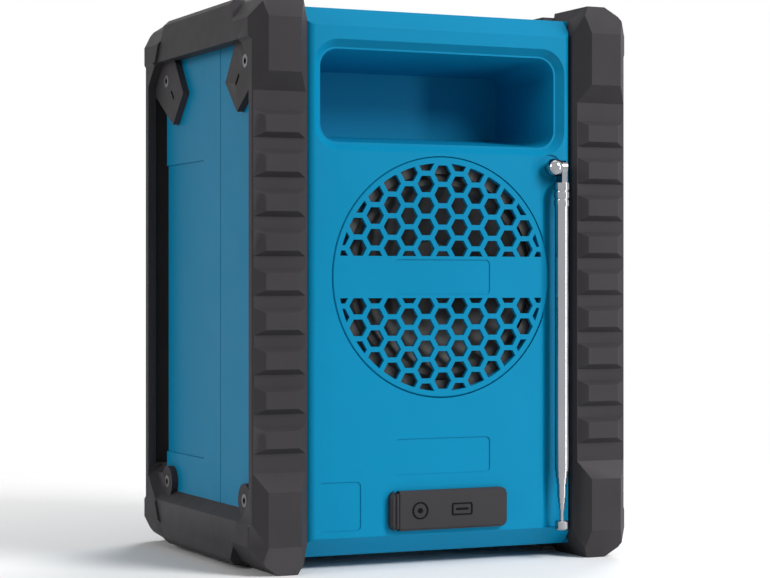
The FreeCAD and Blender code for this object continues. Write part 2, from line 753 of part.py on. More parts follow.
def speaker_parts():
    """The front speaker, from its flange back to its magnet."""
    face = -INNER_PANEL_Y
    seat = face + FLANGE_THICK
    back = seat + BASKET_DEPTH
    edge = CONE_EDGE_R + SURROUND_WIDTH
    neck = MAGNET_R * 0.75
    basket = turned([(edge, face), (FLANGE_R, face), (FLANGE_R, seat), (edge + BASKET_WALL, seat),
                     (neck + BASKET_WALL, back), (CAP_R, back), (CAP_R, back - BASKET_WALL),
                     (neck, back - BASKET_WALL), (edge, seat)], 0, SPEAKER_Z)
    magnet = cylinder((0, back, SPEAKER_Z), (0, 1, 0), MAGNET_R, MAGNET_THICK)
    lip = seat - CONE_THICK
    surround = turned([(CONE_EDGE_R, lip), (edge, lip), (edge, seat - 2 * CONE_THICK),
                       (edge - SURROUND_WIDTH / 3, face), (CONE_EDGE_R + SURROUND_WIDTH / 3, face),
                       (CONE_EDGE_R, seat - 2 * CONE_THICK)], 0, SPEAKER_Z)
    cone = turned([(CONE_EDGE_R, seat - 2 * CONE_THICK), (CONE_EDGE_R, lip), (CAP_R, seat + CONE_DEPTH),
                   (CAP_R, back - BASKET_WALL), (CAP_R - CONE_THICK, back - BASKET_WALL),
                   (CAP_R - CONE_THICK, seat + CONE_DEPTH - CONE_THICK)], 0, SPEAKER_Z)
    top = seat + CONE_DEPTH - CONE_THICK
    cap = turned([(0, top - CAP_HEIGHT), (CAP_R * 0.6, top - CAP_HEIGHT * 0.75),
                  (CAP_R - CONE_THICK, top), (0, top)], 0, SPEAKER_Z)
    return basket, magnet, surround, cone, cap


def passive_parts():
    """The passive radiator behind the rear grille."""
    face = INNER_PANEL_Y
    seat = face - FLANGE_THICK
    edge = PASSIVE_CONE_R + SURROUND_WIDTH
    frame = turned([(edge, face), (PASSIVE_FLANGE_R, face), (PASSIVE_FLANGE_R, seat), (edge, seat)],
                   0, GRILLE_Z)
    lip = seat + CONE_THICK
    surround = turned([(PASSIVE_CONE_R, seat), (edge, seat), (edge, lip),
                       (edge - SURROUND_WIDTH / 3, face), (PASSIVE_CONE_R + SURROUND_WIDTH / 3, face),
                       (PASSIVE_CONE_R, lip)], 0, GRILLE_Z)
    low = seat - PASSIVE_DEPTH
    cone = turned([(0, low), (PASSIVE_HUB_R, low), (PASSIVE_CONE_R, seat), (PASSIVE_CONE_R, lip),
                   (PASSIVE_HUB_R, low + 2 * CONE_THICK), (0, low + 2 * CONE_THICK)], 0, GRILLE_Z)
    return frame, surround, cone


def quarter_outline(points):
    """An outline drawn for one quarter, repeated by symmetry about both middle lines."""
    right = points + [(y, 2 * MIDDLE - z) for y, z in reversed(points)]
    return right + [(-y, z) for y, z in reversed(right)]


def crossed(side, rear, plan):
    """The solid that three outlines, seen from the side, behind and above, share."""
    form = prism("x", TOP_INNER_X, BUMPER_X, side)
    form = form.common(prism("y", -DEPTH, DEPTH, rear))
    return form.common(prism("z", 0, HEIGHT, plan))


def bumper_plan():
    """The frame seen from above: slanted edges on the front and rear faces."""
    slant_y = BAR_FACE_Y - BAR_STEP / 3
    quarter = [(TOP_INNER_X, slant_y), (BAR_INNER_X, slant_y), (RIB_FLAT_INNER_X, CORNER_FACE_Y),
               (RIB_FLAT_OUTER_X, CORNER_FACE_Y), (BUMPER_X, slant_y)]
    return quarter + [(x, -y) for x, y in reversed(quarter)]


def bumper_core():
    """The plain ring of four bars on the +X side."""
    high = HEIGHT - TOP_BAR_SINK
    side = quarter_outline([(BAR_FACE_Y - CORE_BEVEL, high), (BAR_FACE_Y, high - CORE_BEVEL)])
    upper = [(TOP_INNER_X, high), (BAR_SIDE_X - CORE_BEVEL, high), (BAR_SIDE_X, high - CORE_BEVEL)]
    lower = [(x, 2 * MIDDLE - z) for x, z in reversed(upper)]
    inner = [(TOP_INNER_X, BASE_Z), (BAR_INNER_X, BASE_Z + EDGE_CUT),
             (BAR_INNER_X, TOP_Z - EDGE_CUT), (TOP_INNER_X, TOP_Z)]
    return crossed(side, upper + lower + inner, bumper_plan())


def corner_form():
    """The heavier faceted form that the four corner blocks are cut from."""
    side = quarter_outline([(CORNER_FACE_Y - CORNER_TOP_INSET, HEIGHT), (CORNER_FACE_Y, CORNER_HIGH_Z),
                            (CORNER_FACE_Y, CORNER_LOW_Z), (BAR_FACE_Y, CORNER_SLOPE_Z)])
    bevel = HEIGHT - CORNER_HIGH_Z
    bump = CORNER_HIGH_Z - bevel * 0.65
    upper = [(BAR_INNER_X, CORNER_HIGH_Z), (BAR_INNER_X + CORNER_BEVEL_X, HEIGHT), (BUMPER_X - bevel, HEIGHT),
             (BUMPER_X - bevel / 2, HEIGHT - bevel / 3), (BUMPER_X, CORNER_HIGH_Z), (BUMPER_X, bump),
             (BAR_SIDE_X, bump - (BUMPER_X - BAR_SIDE_X))]
    lower = [(x, 2 * MIDDLE - z) for x, z in reversed(upper)]
    return crossed(side, upper + lower, bumper_plan())


def corner_region():
    """Where the upper rear corner block stands, its ends slanted in side view."""
    points = [(CORNER_END_Y, HEIGHT), (CORNER_SIDE_Y, WINDOW_HIGH_Z), (WINDOW_Y - BAR_STEP, CORNER_SLOPE_Z),
              (DEPTH, CORNER_SLOPE_Z), (DEPTH, HEIGHT)]
    return prism("x", 0, DEEP, points)


def corner_regions():
    rear = corner_region()
    pair = [rear, mirrored_y(rear)]
    flipped = [shape.mirror(V(0, 0, MIDDLE), V(0, 0, 1)) for shape in pair]
    return pair + flipped


def bumper_envelope():
    """The frame's outer form on the +X side: plain bars and four corner blocks."""
    regions = corner_regions()
    form = corner_form()
    blocks = [form.common(region) for region in regions]
    return joined([bumper_core().cut(regions)] + blocks)


def bumper_window():
    """The opening in the side of the frame, with a sloped sill, and the gap behind each upright."""
    half = WINDOW_Y
    cut = WINDOW_CORNER
    top = [(half, WINDOW_HIGH_Z - cut), (half - cut, WINDOW_HIGH_Z),
           (cut - half, WINDOW_HIGH_Z), (-half, WINDOW_HIGH_Z - cut)]
    low = SILL_Z - SILL_FLARE
    inner = top + [(-half, SILL_Z + cut), (cut - half, SILL_Z), (half - cut, SILL_Z), (half, SILL_Z + cut)]
    outer = top + [(-half, low + cut), (cut - half, low), (half - cut, low), (half, low + cut)]
    opening = loft("x", SIDE_X, inner, BUMPER_X, outer)
    gap = box((GROOVE_INNER_X, LEDGE_Y, GROOVE_LOW_Z), (GROOVE_OUTER_X, GROOVE_Y, GROOVE_HIGH_Z))
    return [opening, gap, mirrored_y(gap)]


def rib(centre_z):
    half_base = RIB_BASE / 2
    half_flat = RIB_FLAT / 2
    base = rectangle(RIB_BASE_INNER_X, RIB_BASE_OUTER_X, centre_z - half_base, centre_z + half_base)
    flat = rectangle(RIB_FLAT_INNER_X, RIB_FLAT_OUTER_X, centre_z - half_flat, centre_z + half_flat)
    return loft("y", BAR_FACE_Y, base, BAR_FACE_Y + RIB_HEIGHT, flat)


def ribs():
    """The rear bar's ribs, evenly spaced about the middle."""
    room = 2 * (CORNER_SLOPE_Z - MIDDLE) - RIB_BASE - RIB_END_GAP
    count = int(room / RIB_PITCH) + 1
    first = MIDDLE - RIB_PITCH * (count - 1) / 2
    return [rib(first + index * RIB_PITCH) for index in range(count)]


def tabs():
    """The rear pair of screw tabs on the blue side, upper arm and lower ear."""
    outer = WINDOW_Y + BAR_STEP / 2
    over = WINDOW_HIGH_Z + BAR_STEP / 2
    arm = [(outer, over), (TAB_TIP_Y, over), (TAB_POINT_Y, TAB_POINT_Z), (TAB_TIP_Y, TAB_TIP_Z),
           (outer, TAB_SCREW_Z - TAB_NECK_DROP)]
    low = SILL_Z - SILL_FLARE
    neck = EAR_SCREW_Y - EAR_R * 0.7
    ear = [(neck, low), (outer, low), (outer, EAR_SCREW_Z + EAR_R / 2), (EAR_SCREW_Y, EAR_SCREW_Z + EAR_R / 2),
           (neck, EAR_SCREW_Z)]
    high_x = SIDE_X + TAB_THICK
    solids = [prism("x", SIDE_X, high_x, arm), prism("x", SIDE_X, high_x, ear)]
    solids.append(cylinder((SIDE_X, EAR_SCREW_Y, EAR_SCREW_Z), (1, 0, 0), EAR_R, TAB_THICK))
    return solids


def tab_slot():
    """The short slot beside the upper screw, turned 45 degrees."""
    half = TAB_SLOT_LENGTH / 2
    wide = TAB_SLOT_WIDTH / 2
    x = SIDE_X + TAB_THICK - TAB_SLOT_DEPTH
    slot = box((x, -half, -wide), (x + WALL, half, wide))
    slot.rotate(V(0, 0, 0), V(1, 0, 0), 45)
    slot.translate(V(0, TAB_SLOT_Y, TAB_SLOT_Z))
    return slot


def screw_seat():
    """The face that a bumper screw's head bears on."""
    return SIDE_X + TAB_THICK - SCREW_HEAD


def bumper():
    """The frame on the +X side."""
    frame = bumper_envelope().cut(bumper_window())
    details = ribs() + tabs()
    details += [mirrored_y(solid) for solid in details]
    frame = joined([frame] + details)
    holes = [tab_slot(), mirrored_y(tab_slot())]
    for y, z in tab_screws():
        holes.append(cylinder((SIDE_X - WALL, y, z), (1, 0, 0), SCREW_SHANK_R + FIT_GAP, DEEP))
        holes.append(cylinder((screw_seat(), y, z), (1, 0, 0), SCREW_HEAD_R + FIT_GAP, DEEP))
    return frame.cut(housing_block(0)).cut(holes)


def bumper_screws():
    """The four screws of the +X frame."""
    seat = screw_seat()
    length = seat - SIDE_X + SCREW_LENGTH
    solids = []
    for y, z in tab_screws():
        head = cylinder((seat, y, z), (1, 0, 0), SCREW_HEAD_R, SCREW_HEAD)
        shank = cylinder((seat, y, z), (-1, 0, 0), SCREW_SHANK_R, length)
        socket = Part.makePolygon([V(seat + SCREW_HEAD, y + SCREW_SOCKET_FLATS / math.sqrt(3)
                                     * math.cos(math.radians(60 * k)),
                                     z + SCREW_SOCKET_FLATS / math.sqrt(3)
                                     * math.sin(math.radians(60 * k))) for k in range(7)])
        pocket = Part.Face(socket).extrude(V(-SCREW_SOCKET_DEPTH, 0, 0))
        solids.append(head.fuse(shank).cut(pocket))
    return solids


def housing_screws():
    solids = []
    seat = SEAM_Y + HOUSING_HEAD_SEAT
    for x, z in housing_screw_places():
        head = cylinder((x, seat, z), (0, 1, 0), HOUSING_HEAD_R, HOUSING_HEAD)
        length = HOUSING_HEAD_SEAT + HOUSING_SCREW_LENGTH
        shank = cylinder((x, seat, z), (0, -1, 0), SCREW_SHANK_R, length)
        solids.append(head.fuse(shank))
    return solids


def antenna_base():
    """The fixed post and ball, cut flat where the tongue turns against it."""
    ball = Part.makeSphere(BALL_R, V(PIVOT_X, pivot_y(), PIVOT_Z))
    start = INNER_PANEL_Y - WALL
    post = cylinder((PIVOT_X, start, PIVOT_Z), (0, 1, 0), BASE_POST_R, pivot_y() - start)
    nut = cylinder((PIVOT_X, start, PIVOT_Z), (0, 1, 0), 2 * BASE_POST_R, WALL)
    flat = box((-DEEP, pivot_y() - BALL_R, PIVOT_Z - DEEP), (PIVOT_X - BALL_CUT, DEEP, PIVOT_Z + DEEP))
    solid = joined([ball, post, nut]).cut(flat)
    return solid.cut(pivot_pin(0))


def pivot_pin(fit):
    """The elbow's cross pin, with room round it when a fit is given."""
    start = PIVOT_X - BALL_CUT / 2
    length = BALL_CUT / 2 + 2 * TONGUE_GAP + TONGUE_THICK
    return cylinder((start, pivot_y(), PIVOT_Z), (-1, 0, 0), PIVOT_PIN_R + fit, length)


def antenna_pivot():
    """The pin with its round head outside the tongue."""
    start = tube_x() - TONGUE_THICK / 2 - TONGUE_GAP
    head = cylinder((start, pivot_y(), PIVOT_Z), (-1, 0, 0), PIVOT_HEAD_R, PIVOT_HEAD)
    return pivot_pin(0).fuse(head)


def tube_top():
    return PIVOT_Z - TUBE_TOP_DROP


def upright(z_low, z_high, radius):
    """A length of round bar on the antenna's line."""
    return cylinder((tube_x(), pivot_y(), z_low), (0, 0, 1), radius, z_high - z_low)


def antenna_ferrule():
    """The flat tongue, with the plug that closes the top of the outer tube."""
    x0 = tube_x() - TONGUE_THICK / 2
    eye = cylinder((x0, pivot_y(), PIVOT_Z), (1, 0, 0), TONGUE_R, TONGUE_THICK)
    reach = TONGUE_R * 0.8
    blade = box((x0, pivot_y() - reach, tube_top()), (x0 + TONGUE_THICK, pivot_y() + reach, PIVOT_Z))
    plug = upright(tube_top() - PLUG_LENGTH, tube_top(), TUBE_R - TUBE_WALL)
    return joined([eye, blade, plug]).cut(pivot_pin(PIVOT_PIN_FIT))


def antenna_tube():
    """The outer tube with its grooved collar."""
    collar = upright(tube_top() - COLLAR_LENGTH, tube_top(), COLLAR_R)
    for share in (0.35, 0.7):
        z = tube_top() - COLLAR_LENGTH * share
        ring = upright(z - COLLAR_GROOVE, z + COLLAR_GROOVE, COLLAR_R + 1)
        collar = collar.cut(ring.cut(upright(z - 1, z + 1, TUBE_R)))
    tube = upright(TUBE_BOTTOM_Z, tube_top(), TUBE_R)
    return collar.fuse(tube).removeSplitter().cut(upright(0, HEIGHT, TUBE_R - TUBE_WALL))


def stage_list():
    """Each inner stage as (name, radius, bottom, top, solid), largest first."""
    stages = []
    radius = TUBE_R
    bottom = TUBE_BOTTOM_Z
    top = tube_top() - PLUG_LENGTH - INNER_TOP_GAP
    for index, shows in enumerate(STAGE_SHOWS):
        radius -= TUBE_WALL + TUBE_FIT
        bottom -= shows
        stages.append(("antenna_stage_" + str(index + 2), radius, bottom, top, False))
    radius -= TUBE_WALL + TUBE_FIT
    stages.append(("antenna_rod", radius, bottom - ROD_SHOWS, top, True))
    return stages


def stage(radius, bottom, top, solid):
    shape = upright(bottom, top, radius)
    if solid:
        return shape
    return shape.cut(upright(0, HEIGHT, radius - TUBE_WALL))


def antenna_tip():
    name, radius, bottom, top, solid = stage_list()[-1]
    knob = upright(bottom - TIP_HEIGHT, bottom, TIP_R)
    return knob.makeChamfer(TIP_HEIGHT / 8, [e for e in knob.Edges if e.BoundBox.XLength > TIP_R])


def print_travels():
    """How far each stage slides before its overlap is used up."""
    previous = TUBE_BOTTOM_Z
    for name, radius, bottom, top, solid in stage_list():
        print("travel", name, round(top - previous - STAGE_OVERLAP, 2))
        previous = bottom


def cover_plate(x0, x1):
    """A length of the cover's plate, with its outer edges bevelled."""
    low = (x0, PANEL_Y + FIT_GAP, COVER_LOW_Z)
    high = (x1, PANEL_Y + FIT_GAP + COVER_THICK, COVER_LOW_Z + COVER_HEIGHT)
    whole = rounded_box((COVER_RIGHT_X, low[1], low[2]), (COVER_LEFT_X, high[1], high[2]), COVER_CORNER)
    outer = [edge for edge in whole.Edges if edge.BoundBox.YMin > high[1] - 0.01]
    whole = whole.makeChamfer(COVER_EDGE, outer)
    return whole.common(box((x0, -DEEP, -DEEP), (x1, DEEP, DEEP)))


def cover_hinge_x():
    return COVER_LEFT_X - COVER_ANCHOR


def cover_barrel(radius, length):
    """A bar on the cover's hinge line, centred on its height."""
    y = PANEL_Y + FIT_GAP + COVER_THICK - COVER_BARREL_R
    z = COVER_LOW_Z + (COVER_HEIGHT - length) / 2
    return cylinder((cover_hinge_x(), y, z), (0, 0, 1), radius, length)


def port_cover():
    """The flap, with its hinge barrel and a hollow rim that plugs the opening."""
    plate = cover_plate(COVER_RIGHT_X, cover_hinge_x() - COVER_WEB)
    barrel = cover_barrel(COVER_BARREL_R, COVER_HEIGHT - 2 * COVER_EDGE)
    y0 = PANEL_Y - PLUG_RIM_DEPTH
    y1 = PANEL_Y + FIT_GAP
    gap = PLUG_CLEARANCE
    low = (port_right() + gap, y0, port_low() + gap)
    high = (port_left() - gap, y1, port_high() - gap)
    rim = box(low, high)
    wall = PLUG_RIM_WALL
    rim = rim.cut(box((low[0] + wall, y0, low[2] + wall), (high[0] - wall, y1, high[2] - wall)))
    return joined([plate, barrel, rim])


def cover_anchor():
    """The fixed end of the cover on the panel, hollowed round the hinge barrel."""
    plate = cover_plate(cover_hinge_x(), COVER_LEFT_X)
    low = (cover_hinge_x() + COVER_SWING_R, PANEL_Y, COVER_LOW_Z + COVER_HEIGHT / 4)
    pad = box(low, (COVER_LEFT_X - COVER_EDGE / 2, PANEL_Y + FIT_GAP, COVER_LOW_Z + COVER_HEIGHT * 3 / 4))
    swing = cover_barrel(COVER_SWING_R, 2 * COVER_HEIGHT)
    under = box((0, PANEL_Y, 0), (cover_hinge_x() + COVER_SWING_R / 2, DEPTH, MIDDLE))
    return plate.fuse(pad).cut([swing, under])


def port_tray():
    """The plate behind the port opening, against the inside of the wall."""
    margin = TRAY_MARGIN
    plate = box((port_right() - margin, INNER_PANEL_Y - TRAY_THICK, port_low() - margin),
                (port_left() + margin, INNER_PANEL_Y, port_high() + margin))
    holes = [cylinder((AUX_X, 0, PORT_Z), (0, 1, 0), BUSH_R, DEPTH),
             cylinder((DC_X, 0, PORT_Z), (0, 1, 0), BUSH_R, DEPTH),
             cylinder((RESET_X, 0, PORT_Z), (0, 1, 0), RESET_R + FIT_GAP, DEPTH),
             box((USB_X - USB_WIDTH / 2, 0, PORT_Z - USB_HEIGHT / 2),
                 (USB_X + USB_WIDTH / 2, DEPTH, PORT_Z + USB_HEIGHT / 2))]
    return plate.cut(holes)


def tray_back():
    return INNER_PANEL_Y - TRAY_THICK


def port_board_face():
    return tray_back() - JACK_DEPTH


def jack(x, bore_r):
    """A socket block on the port board, with a round bush through the tray."""
    half = JACK_BODY / 2
    face = port_board_face()
    block = box((x - half / 1.2, face, PORT_Z - half), (x + half / 1.2, tray_back(), PORT_Z + half))
    bush = cylinder((x, face, PORT_Z), (0, 1, 0), BUSH_R, JACK_DEPTH + TRAY_THICK)
    bore = cylinder((x, face + FLANGE_THICK, PORT_Z), (0, 1, 0), bore_r, DEPTH)
    return block.fuse(bush).removeSplitter().cut(bore)


def dc_jack():
    face = port_board_face()
    pin = cylinder((DC_X, face, PORT_Z), (0, 1, 0), DC_PIN_R, JACK_DEPTH)
    return jack(DC_X, DC_BORE_R).fuse(pin)


def usb_socket():
    face = port_board_face()
    half_w = USB_WIDTH / 2
    half_h = USB_HEIGHT / 2
    wall = USB_WALL
    shell = box((USB_X - half_w, face, PORT_Z - half_h), (USB_X + half_w, INNER_PANEL_Y, PORT_Z + half_h))
    hollow = box((USB_X - half_w + wall, face + FLANGE_THICK, PORT_Z - half_h + wall),
                 (USB_X + half_w - wall, DEPTH, PORT_Z + half_h - wall))
    tongue = box((USB_X - half_w + 2 * wall, face, PORT_Z + wall),
                 (USB_X + half_w - 2 * wall, INNER_PANEL_Y - wall, PORT_Z + wall + USB_TONGUE))
    return shell.cut(hollow).fuse(tongue)


def port_board():
    margin = TRAY_MARGIN
    face = port_board_face()
    return box((port_right() - margin, face - BOARD_THICK, port_low() - margin),
               (port_left() + margin, face, port_high() + margin))


def reset_button():
    """The small round button between the sockets."""
    start = port_board_face() + SWITCH_BODY + RESET_TRAVEL + FIT_GAP
    stem = cylinder((RESET_X, start, PORT_Z), (0, 1, 0), RESET_R, INNER_PANEL_Y - start)
    collar = cylinder((RESET_X, start, PORT_Z), (0, 1, 0), RESET_R * 1.3, BOARD_THICK)
    return stem.fuse(collar)


def reset_switch():
    half = RESET_R * 1.3
    face = port_board_face()
    return box((RESET_X - half, face, PORT_Z - half), (RESET_X + half, face + SWITCH_BODY, PORT_Z + half))


def control_face():
    """The control panel's outer face."""
    return -PANEL_Y - CONTROL_PROUD


def control_back():
    return control_face() + CONTROL_THICK


def board_face():
    """The face of the control board that carries the switches."""
    return control_back() + BOARD_DROP


def button_places():
    first = -BUTTON_PITCH * (len(BUTTON_NAMES) - 1) / 2
    return [(name, first + index * BUTTON_PITCH) for index, name in enumerate(BUTTON_NAMES)]


def button_block(x, y0, y1, grow):
    """A rounded block the size of a button, grown for its hole or flange."""
    half_w = BUTTON_WIDTH / 2 + grow
    half_h = BUTTON_HEIGHT / 2 + grow
    return rounded_box((x - half_w, y0, BUTTON_Z - half_h), (x + half_w, y1, BUTTON_Z + half_h),
                       BUTTON_CORNER)


def control_panel():
    face = control_face()
    back = control_back()
    high_z = CONTROL_LOW_Z + CONTROL_HEIGHT
    plate = rounded_box((FIT_GAP - CONTROL_HALF, face, CONTROL_LOW_Z + FIT_GAP),
                        (CONTROL_HALF - FIT_GAP, back, high_z - FIT_GAP), CONTROL_CORNER)
    posts = []
    reach = CONTROL_HALF - CONTROL_LEDGE - STANDOFF_INSET
    for x in (-reach, reach):
        for z in (CONTROL_LOW_Z + CONTROL_LEDGE + STANDOFF_INSET / 2 + STANDOFF_R,
                  high_z - CONTROL_LEDGE - STANDOFF_INSET):
            posts.append(cylinder((x, face + CONTROL_THICK / 2, z), (0, 1, 0), STANDOFF_R,
                                  CONTROL_THICK / 2 + BOARD_DROP))
    holes = [box((WINDOW_X - WINDOW_WIDTH / 2, face, WINDOW_LOW_Z),
                 (WINDOW_X + WINDOW_WIDTH / 2, back, WINDOW_LOW_Z + WINDOW_HEIGHT)),
             lens_block(0), cylinder((KNOB_X, face, KNOB_Z), (0, 1, 0), SHAFT_R + KNOB_GAP, DEPTH)]
    holes += [button_block(x, face, back, FIT_GAP) for name, x in button_places()]
    return joined([plate] + posts).cut(holes)


def lens_block(fit):
    """The lens's place in the panel, or the lens with its fit taken off."""
    margin = LENS_MARGIN - fit
    low = (WINDOW_X - WINDOW_WIDTH / 2 - margin, control_face(), WINDOW_LOW_Z - margin)
    high = (WINDOW_X + WINDOW_WIDTH / 2 + margin, control_face() + LENS_THICK,
            WINDOW_LOW_Z + WINDOW_HEIGHT + margin)
    return box(low, high)


def lcd_module():
    margin = LCD_MARGIN
    low = (WINDOW_X - WINDOW_WIDTH / 2 + margin, control_face() + LENS_THICK + LCD_SINK,
           WINDOW_LOW_Z + margin)
    high = (WINDOW_X + WINDOW_WIDTH / 2 - margin, board_face(), WINDOW_LOW_Z + WINDOW_HEIGHT - margin)
    return box(low, high)


def control_board():
    inset = CONTROL_LEDGE + BOARD_MARGIN
    face = board_face()
    return box((inset - CONTROL_HALF, face, CONTROL_LOW_Z + inset),
               (CONTROL_HALF - inset, face + BOARD_THICK, CONTROL_LOW_Z + CONTROL_HEIGHT - inset))


def button(x):
    """A key cap with a flange behind the panel that stops it coming out."""
    face = control_face()
    back = control_back()
    cap = button_block(x, face - BUTTON_PROUD, back + BUTTON_STOP_GAP, 0)
    flange = button_block(x, back + BUTTON_STOP_GAP, back + BUTTON_STOP_GAP + BUTTON_FLANGE, BUTTON_FLANGE)
    return cap.fuse(flange)


def switches():
    """One switch on the board behind each key."""
    face = board_face()
    near = control_back() + BUTTON_STOP_GAP + BUTTON_FLANGE + BUTTON_TRAVEL + FIT_GAP
    half = SWITCH_SIZE / 2
    return [box((x - half, near, BUTTON_Z - half), (x + half, face, BUTTON_Z + half))
            for name, x in button_places()]


def encoder():
    half = ENCODER_SIZE / 2
    start = control_back() + FIT_GAP
    body = box((KNOB_X - half, start, KNOB_Z - half), (KNOB_X + half, board_face(), KNOB_Z + half))
    return body.cut(cylinder((KNOB_X, start, KNOB_Z), (0, 1, 0), SHAFT_R + SHAFT_FIT, SHAFT_DEPTH))


def encoder_shaft():
    start = control_back() + FIT_GAP + SHAFT_DEPTH - SHAFT_FIT
    tip = control_face() - KNOB_GAP - KNOB_HEIGHT / 2
    return cylinder((KNOB_X, start, KNOB_Z), (0, -1, 0), SHAFT_R, start - tip)


def control_knob():
    near = control_face() - KNOB_GAP
    tip = near - KNOB_HEIGHT
    bevel = KNOB_DISH
    knob = turned([(0, near), (KNOB_R, near), (KNOB_R, tip + bevel), (KNOB_R - bevel, tip),
                   (KNOB_DISH_R, tip), (KNOB_DISH_R - bevel, tip + bevel), (0, tip + bevel)],
                  KNOB_X, KNOB_Z)
    cuts = [cylinder((KNOB_X, near, KNOB_Z), (0, -1, 0), SHAFT_R, KNOB_HEIGHT / 2)]
    for step in range(KNOB_FLUTES):
        angle = math.radians(step * 360 / KNOB_FLUTES)
        x = KNOB_X + (KNOB_R + KNOB_FLUTE_R / 3) * math.cos(angle)
        z = KNOB_Z + (KNOB_R + KNOB_FLUTE_R / 3) * math.sin(angle)
        cuts.append(cylinder((x, near, z), (0, -1, 0), KNOB_FLUTE_R, KNOB_HEIGHT))
    return knob.cut(cuts)


def chassis_plate():
    """The upright plate that carries the main board and the battery."""
    low_z = INNER_FLOOR_Z
    plate = box((-CHASSIS_HALF, CHASSIS_Y, low_z),
                (CHASSIS_HALF, CHASSIS_Y + CHASSIS_THICK, low_z + CHASSIS_HEIGHT))
    foot = box((-CHASSIS_HALF, CHASSIS_Y, low_z),
               (CHASSIS_HALF, CHASSIS_Y + CHASSIS_THICK + CHASSIS_FOOT, low_z + CHASSIS_THICK))
    posts = []
    for x in (-MAIN_HALF + SPACER_R, MAIN_HALF - SPACER_R):
        for z in (MAIN_LOW_Z + SPACER_R, MAIN_LOW_Z + MAIN_HEIGHT - SPACER_R):
            posts.append(cylinder((x, CHASSIS_Y, z), (0, -1, 0), SPACER_R, SPACER_LENGTH))
    return joined([plate, foot] + posts)


def battery_pack():
    """Four cells in a wrap: two rows of two, end to end across the radio."""
    low_z = INNER_FLOOR_Z + CHASSIS_THICK
    y0 = CHASSIS_Y + CHASSIS_THICK
    wrap = box((-BATTERY_HALF, y0, low_z), (BATTERY_HALF, y0 + BATTERY_DEPTH, low_z + BATTERY_HEIGHT))
    cuts = []
    for side in (0, 1, 2):
        z = low_z + side * BATTERY_HEIGHT / 2
        groove = box((-BATTERY_HALF, y0 + CELL_R * 1.6, z - CELL_R / 4),
                     (BATTERY_HALF, y0 + BATTERY_DEPTH, z + CELL_R / 4))
        cuts.append(groove)
    return wrap.cut(cuts)


def main_board_face():
    return CHASSIS_Y - SPACER_LENGTH - BOARD_THICK


def main_board():
    face = main_board_face()
    return box((-MAIN_HALF, face, MAIN_LOW_Z), (MAIN_HALF, face + BOARD_THICK, MAIN_LOW_Z + MAIN_HEIGHT))


def tuner_shield():
    face = main_board_face()
    x0 = MAIN_HALF - SHIELD_SIZE - SPACER_R * 2
    z0 = MAIN_LOW_Z + SPACER_R * 3
    return box((x0, face - SHIELD_HEIGHT, z0), (x0 + SHIELD_SIZE, face, z0 + SHIELD_SIZE))


def capacitors():
    face = main_board_face()
    z = MAIN_LOW_Z + MAIN_HEIGHT - SPACER_R * 3
    return [cylinder((index * CAPACITOR_PITCH, face, z), (0, -1, 0), CAPACITOR_R, CAPACITOR_HEIGHT)
            for index in range(CAPACITOR_COUNT)]


def make_all():
    os.makedirs("parts", exist_ok=True)
    save("rear_shell", rear_shell())
    save("front_shell", front_shell().cut(flange_holes(FLANGE_R, SPEAKER_Z,
                                                       FLANGE_THICK - INNER_PANEL_Y, -1)))
    save("shell_seal", seal_ring())
    save("housing_screws", grouped(housing_screws()))
    save("rear_grille", rear_grille())
    save("front_grille", front_grille())

    basket, magnet, surround, cone, cap = speaker_parts()
    seat = FLANGE_THICK - INNER_PANEL_Y
    save("speaker_basket", basket.cut(flange_holes(FLANGE_R, SPEAKER_Z, seat, -1)))
    save("speaker_magnet", magnet)
    save("speaker_surround", surround)
    save("speaker_cone", cone)
    save("speaker_dust_cap", cap)
    save("speaker_screws", grouped(flange_screws(FLANGE_R, SPEAKER_Z, seat, -1)))
    frame, passive_surround, passive_cone = passive_parts()
    save("passive_radiator_frame", frame)
    save("passive_radiator_surround", passive_surround)
    save("passive_radiator_cone", passive_cone)

    frame = bumper()
    screws = grouped(bumper_screws())
    save("bumper_left", frame)
    save("bumper_right", mirrored_x(frame))
    save("bumper_screws_left", screws)
    save("bumper_screws_right", mirrored_x(screws))

    save("antenna_base", antenna_base())
    save("antenna_pivot", antenna_pivot())
    save("antenna_ferrule", antenna_ferrule())
    save("antenna_tube", antenna_tube())
    for name, radius, bottom, top, solid in stage_list():
        save(name, stage(radius, bottom, top, solid))
    save("antenna_tip", antenna_tip())

    save("port_cover", port_cover())
    save("port_cover_anchor", cover_anchor())
    save("port_tray", port_tray())
    save("port_board", port_board())
    save("aux_jack", jack(AUX_X, AUX_BORE_R))
    save("dc_jack", dc_jack())
    save("usb_socket", usb_socket())
    save("reset_button", reset_button())
    save("reset_switch", reset_switch())

    save("control_panel", control_panel())
    save("display_lens", lens_block(FIT_GAP))
    save("lcd_module", lcd_module())
    save("control_board", control_board())
    for name, x in button_places():
        save("button_" + name, button(x))
    save("button_switches", grouped(switches()))
    save("encoder", encoder())
    save("encoder_shaft", encoder_shaft())
    save("control_knob", control_knob())

    save("chassis_plate", chassis_plate())
    save("battery_pack", battery_pack())
    save("main_board", main_board())
    save("tuner_shield", tuner_shield())
    save("board_capacitors", grouped(capacitors()))
    print_travels()


make_all()
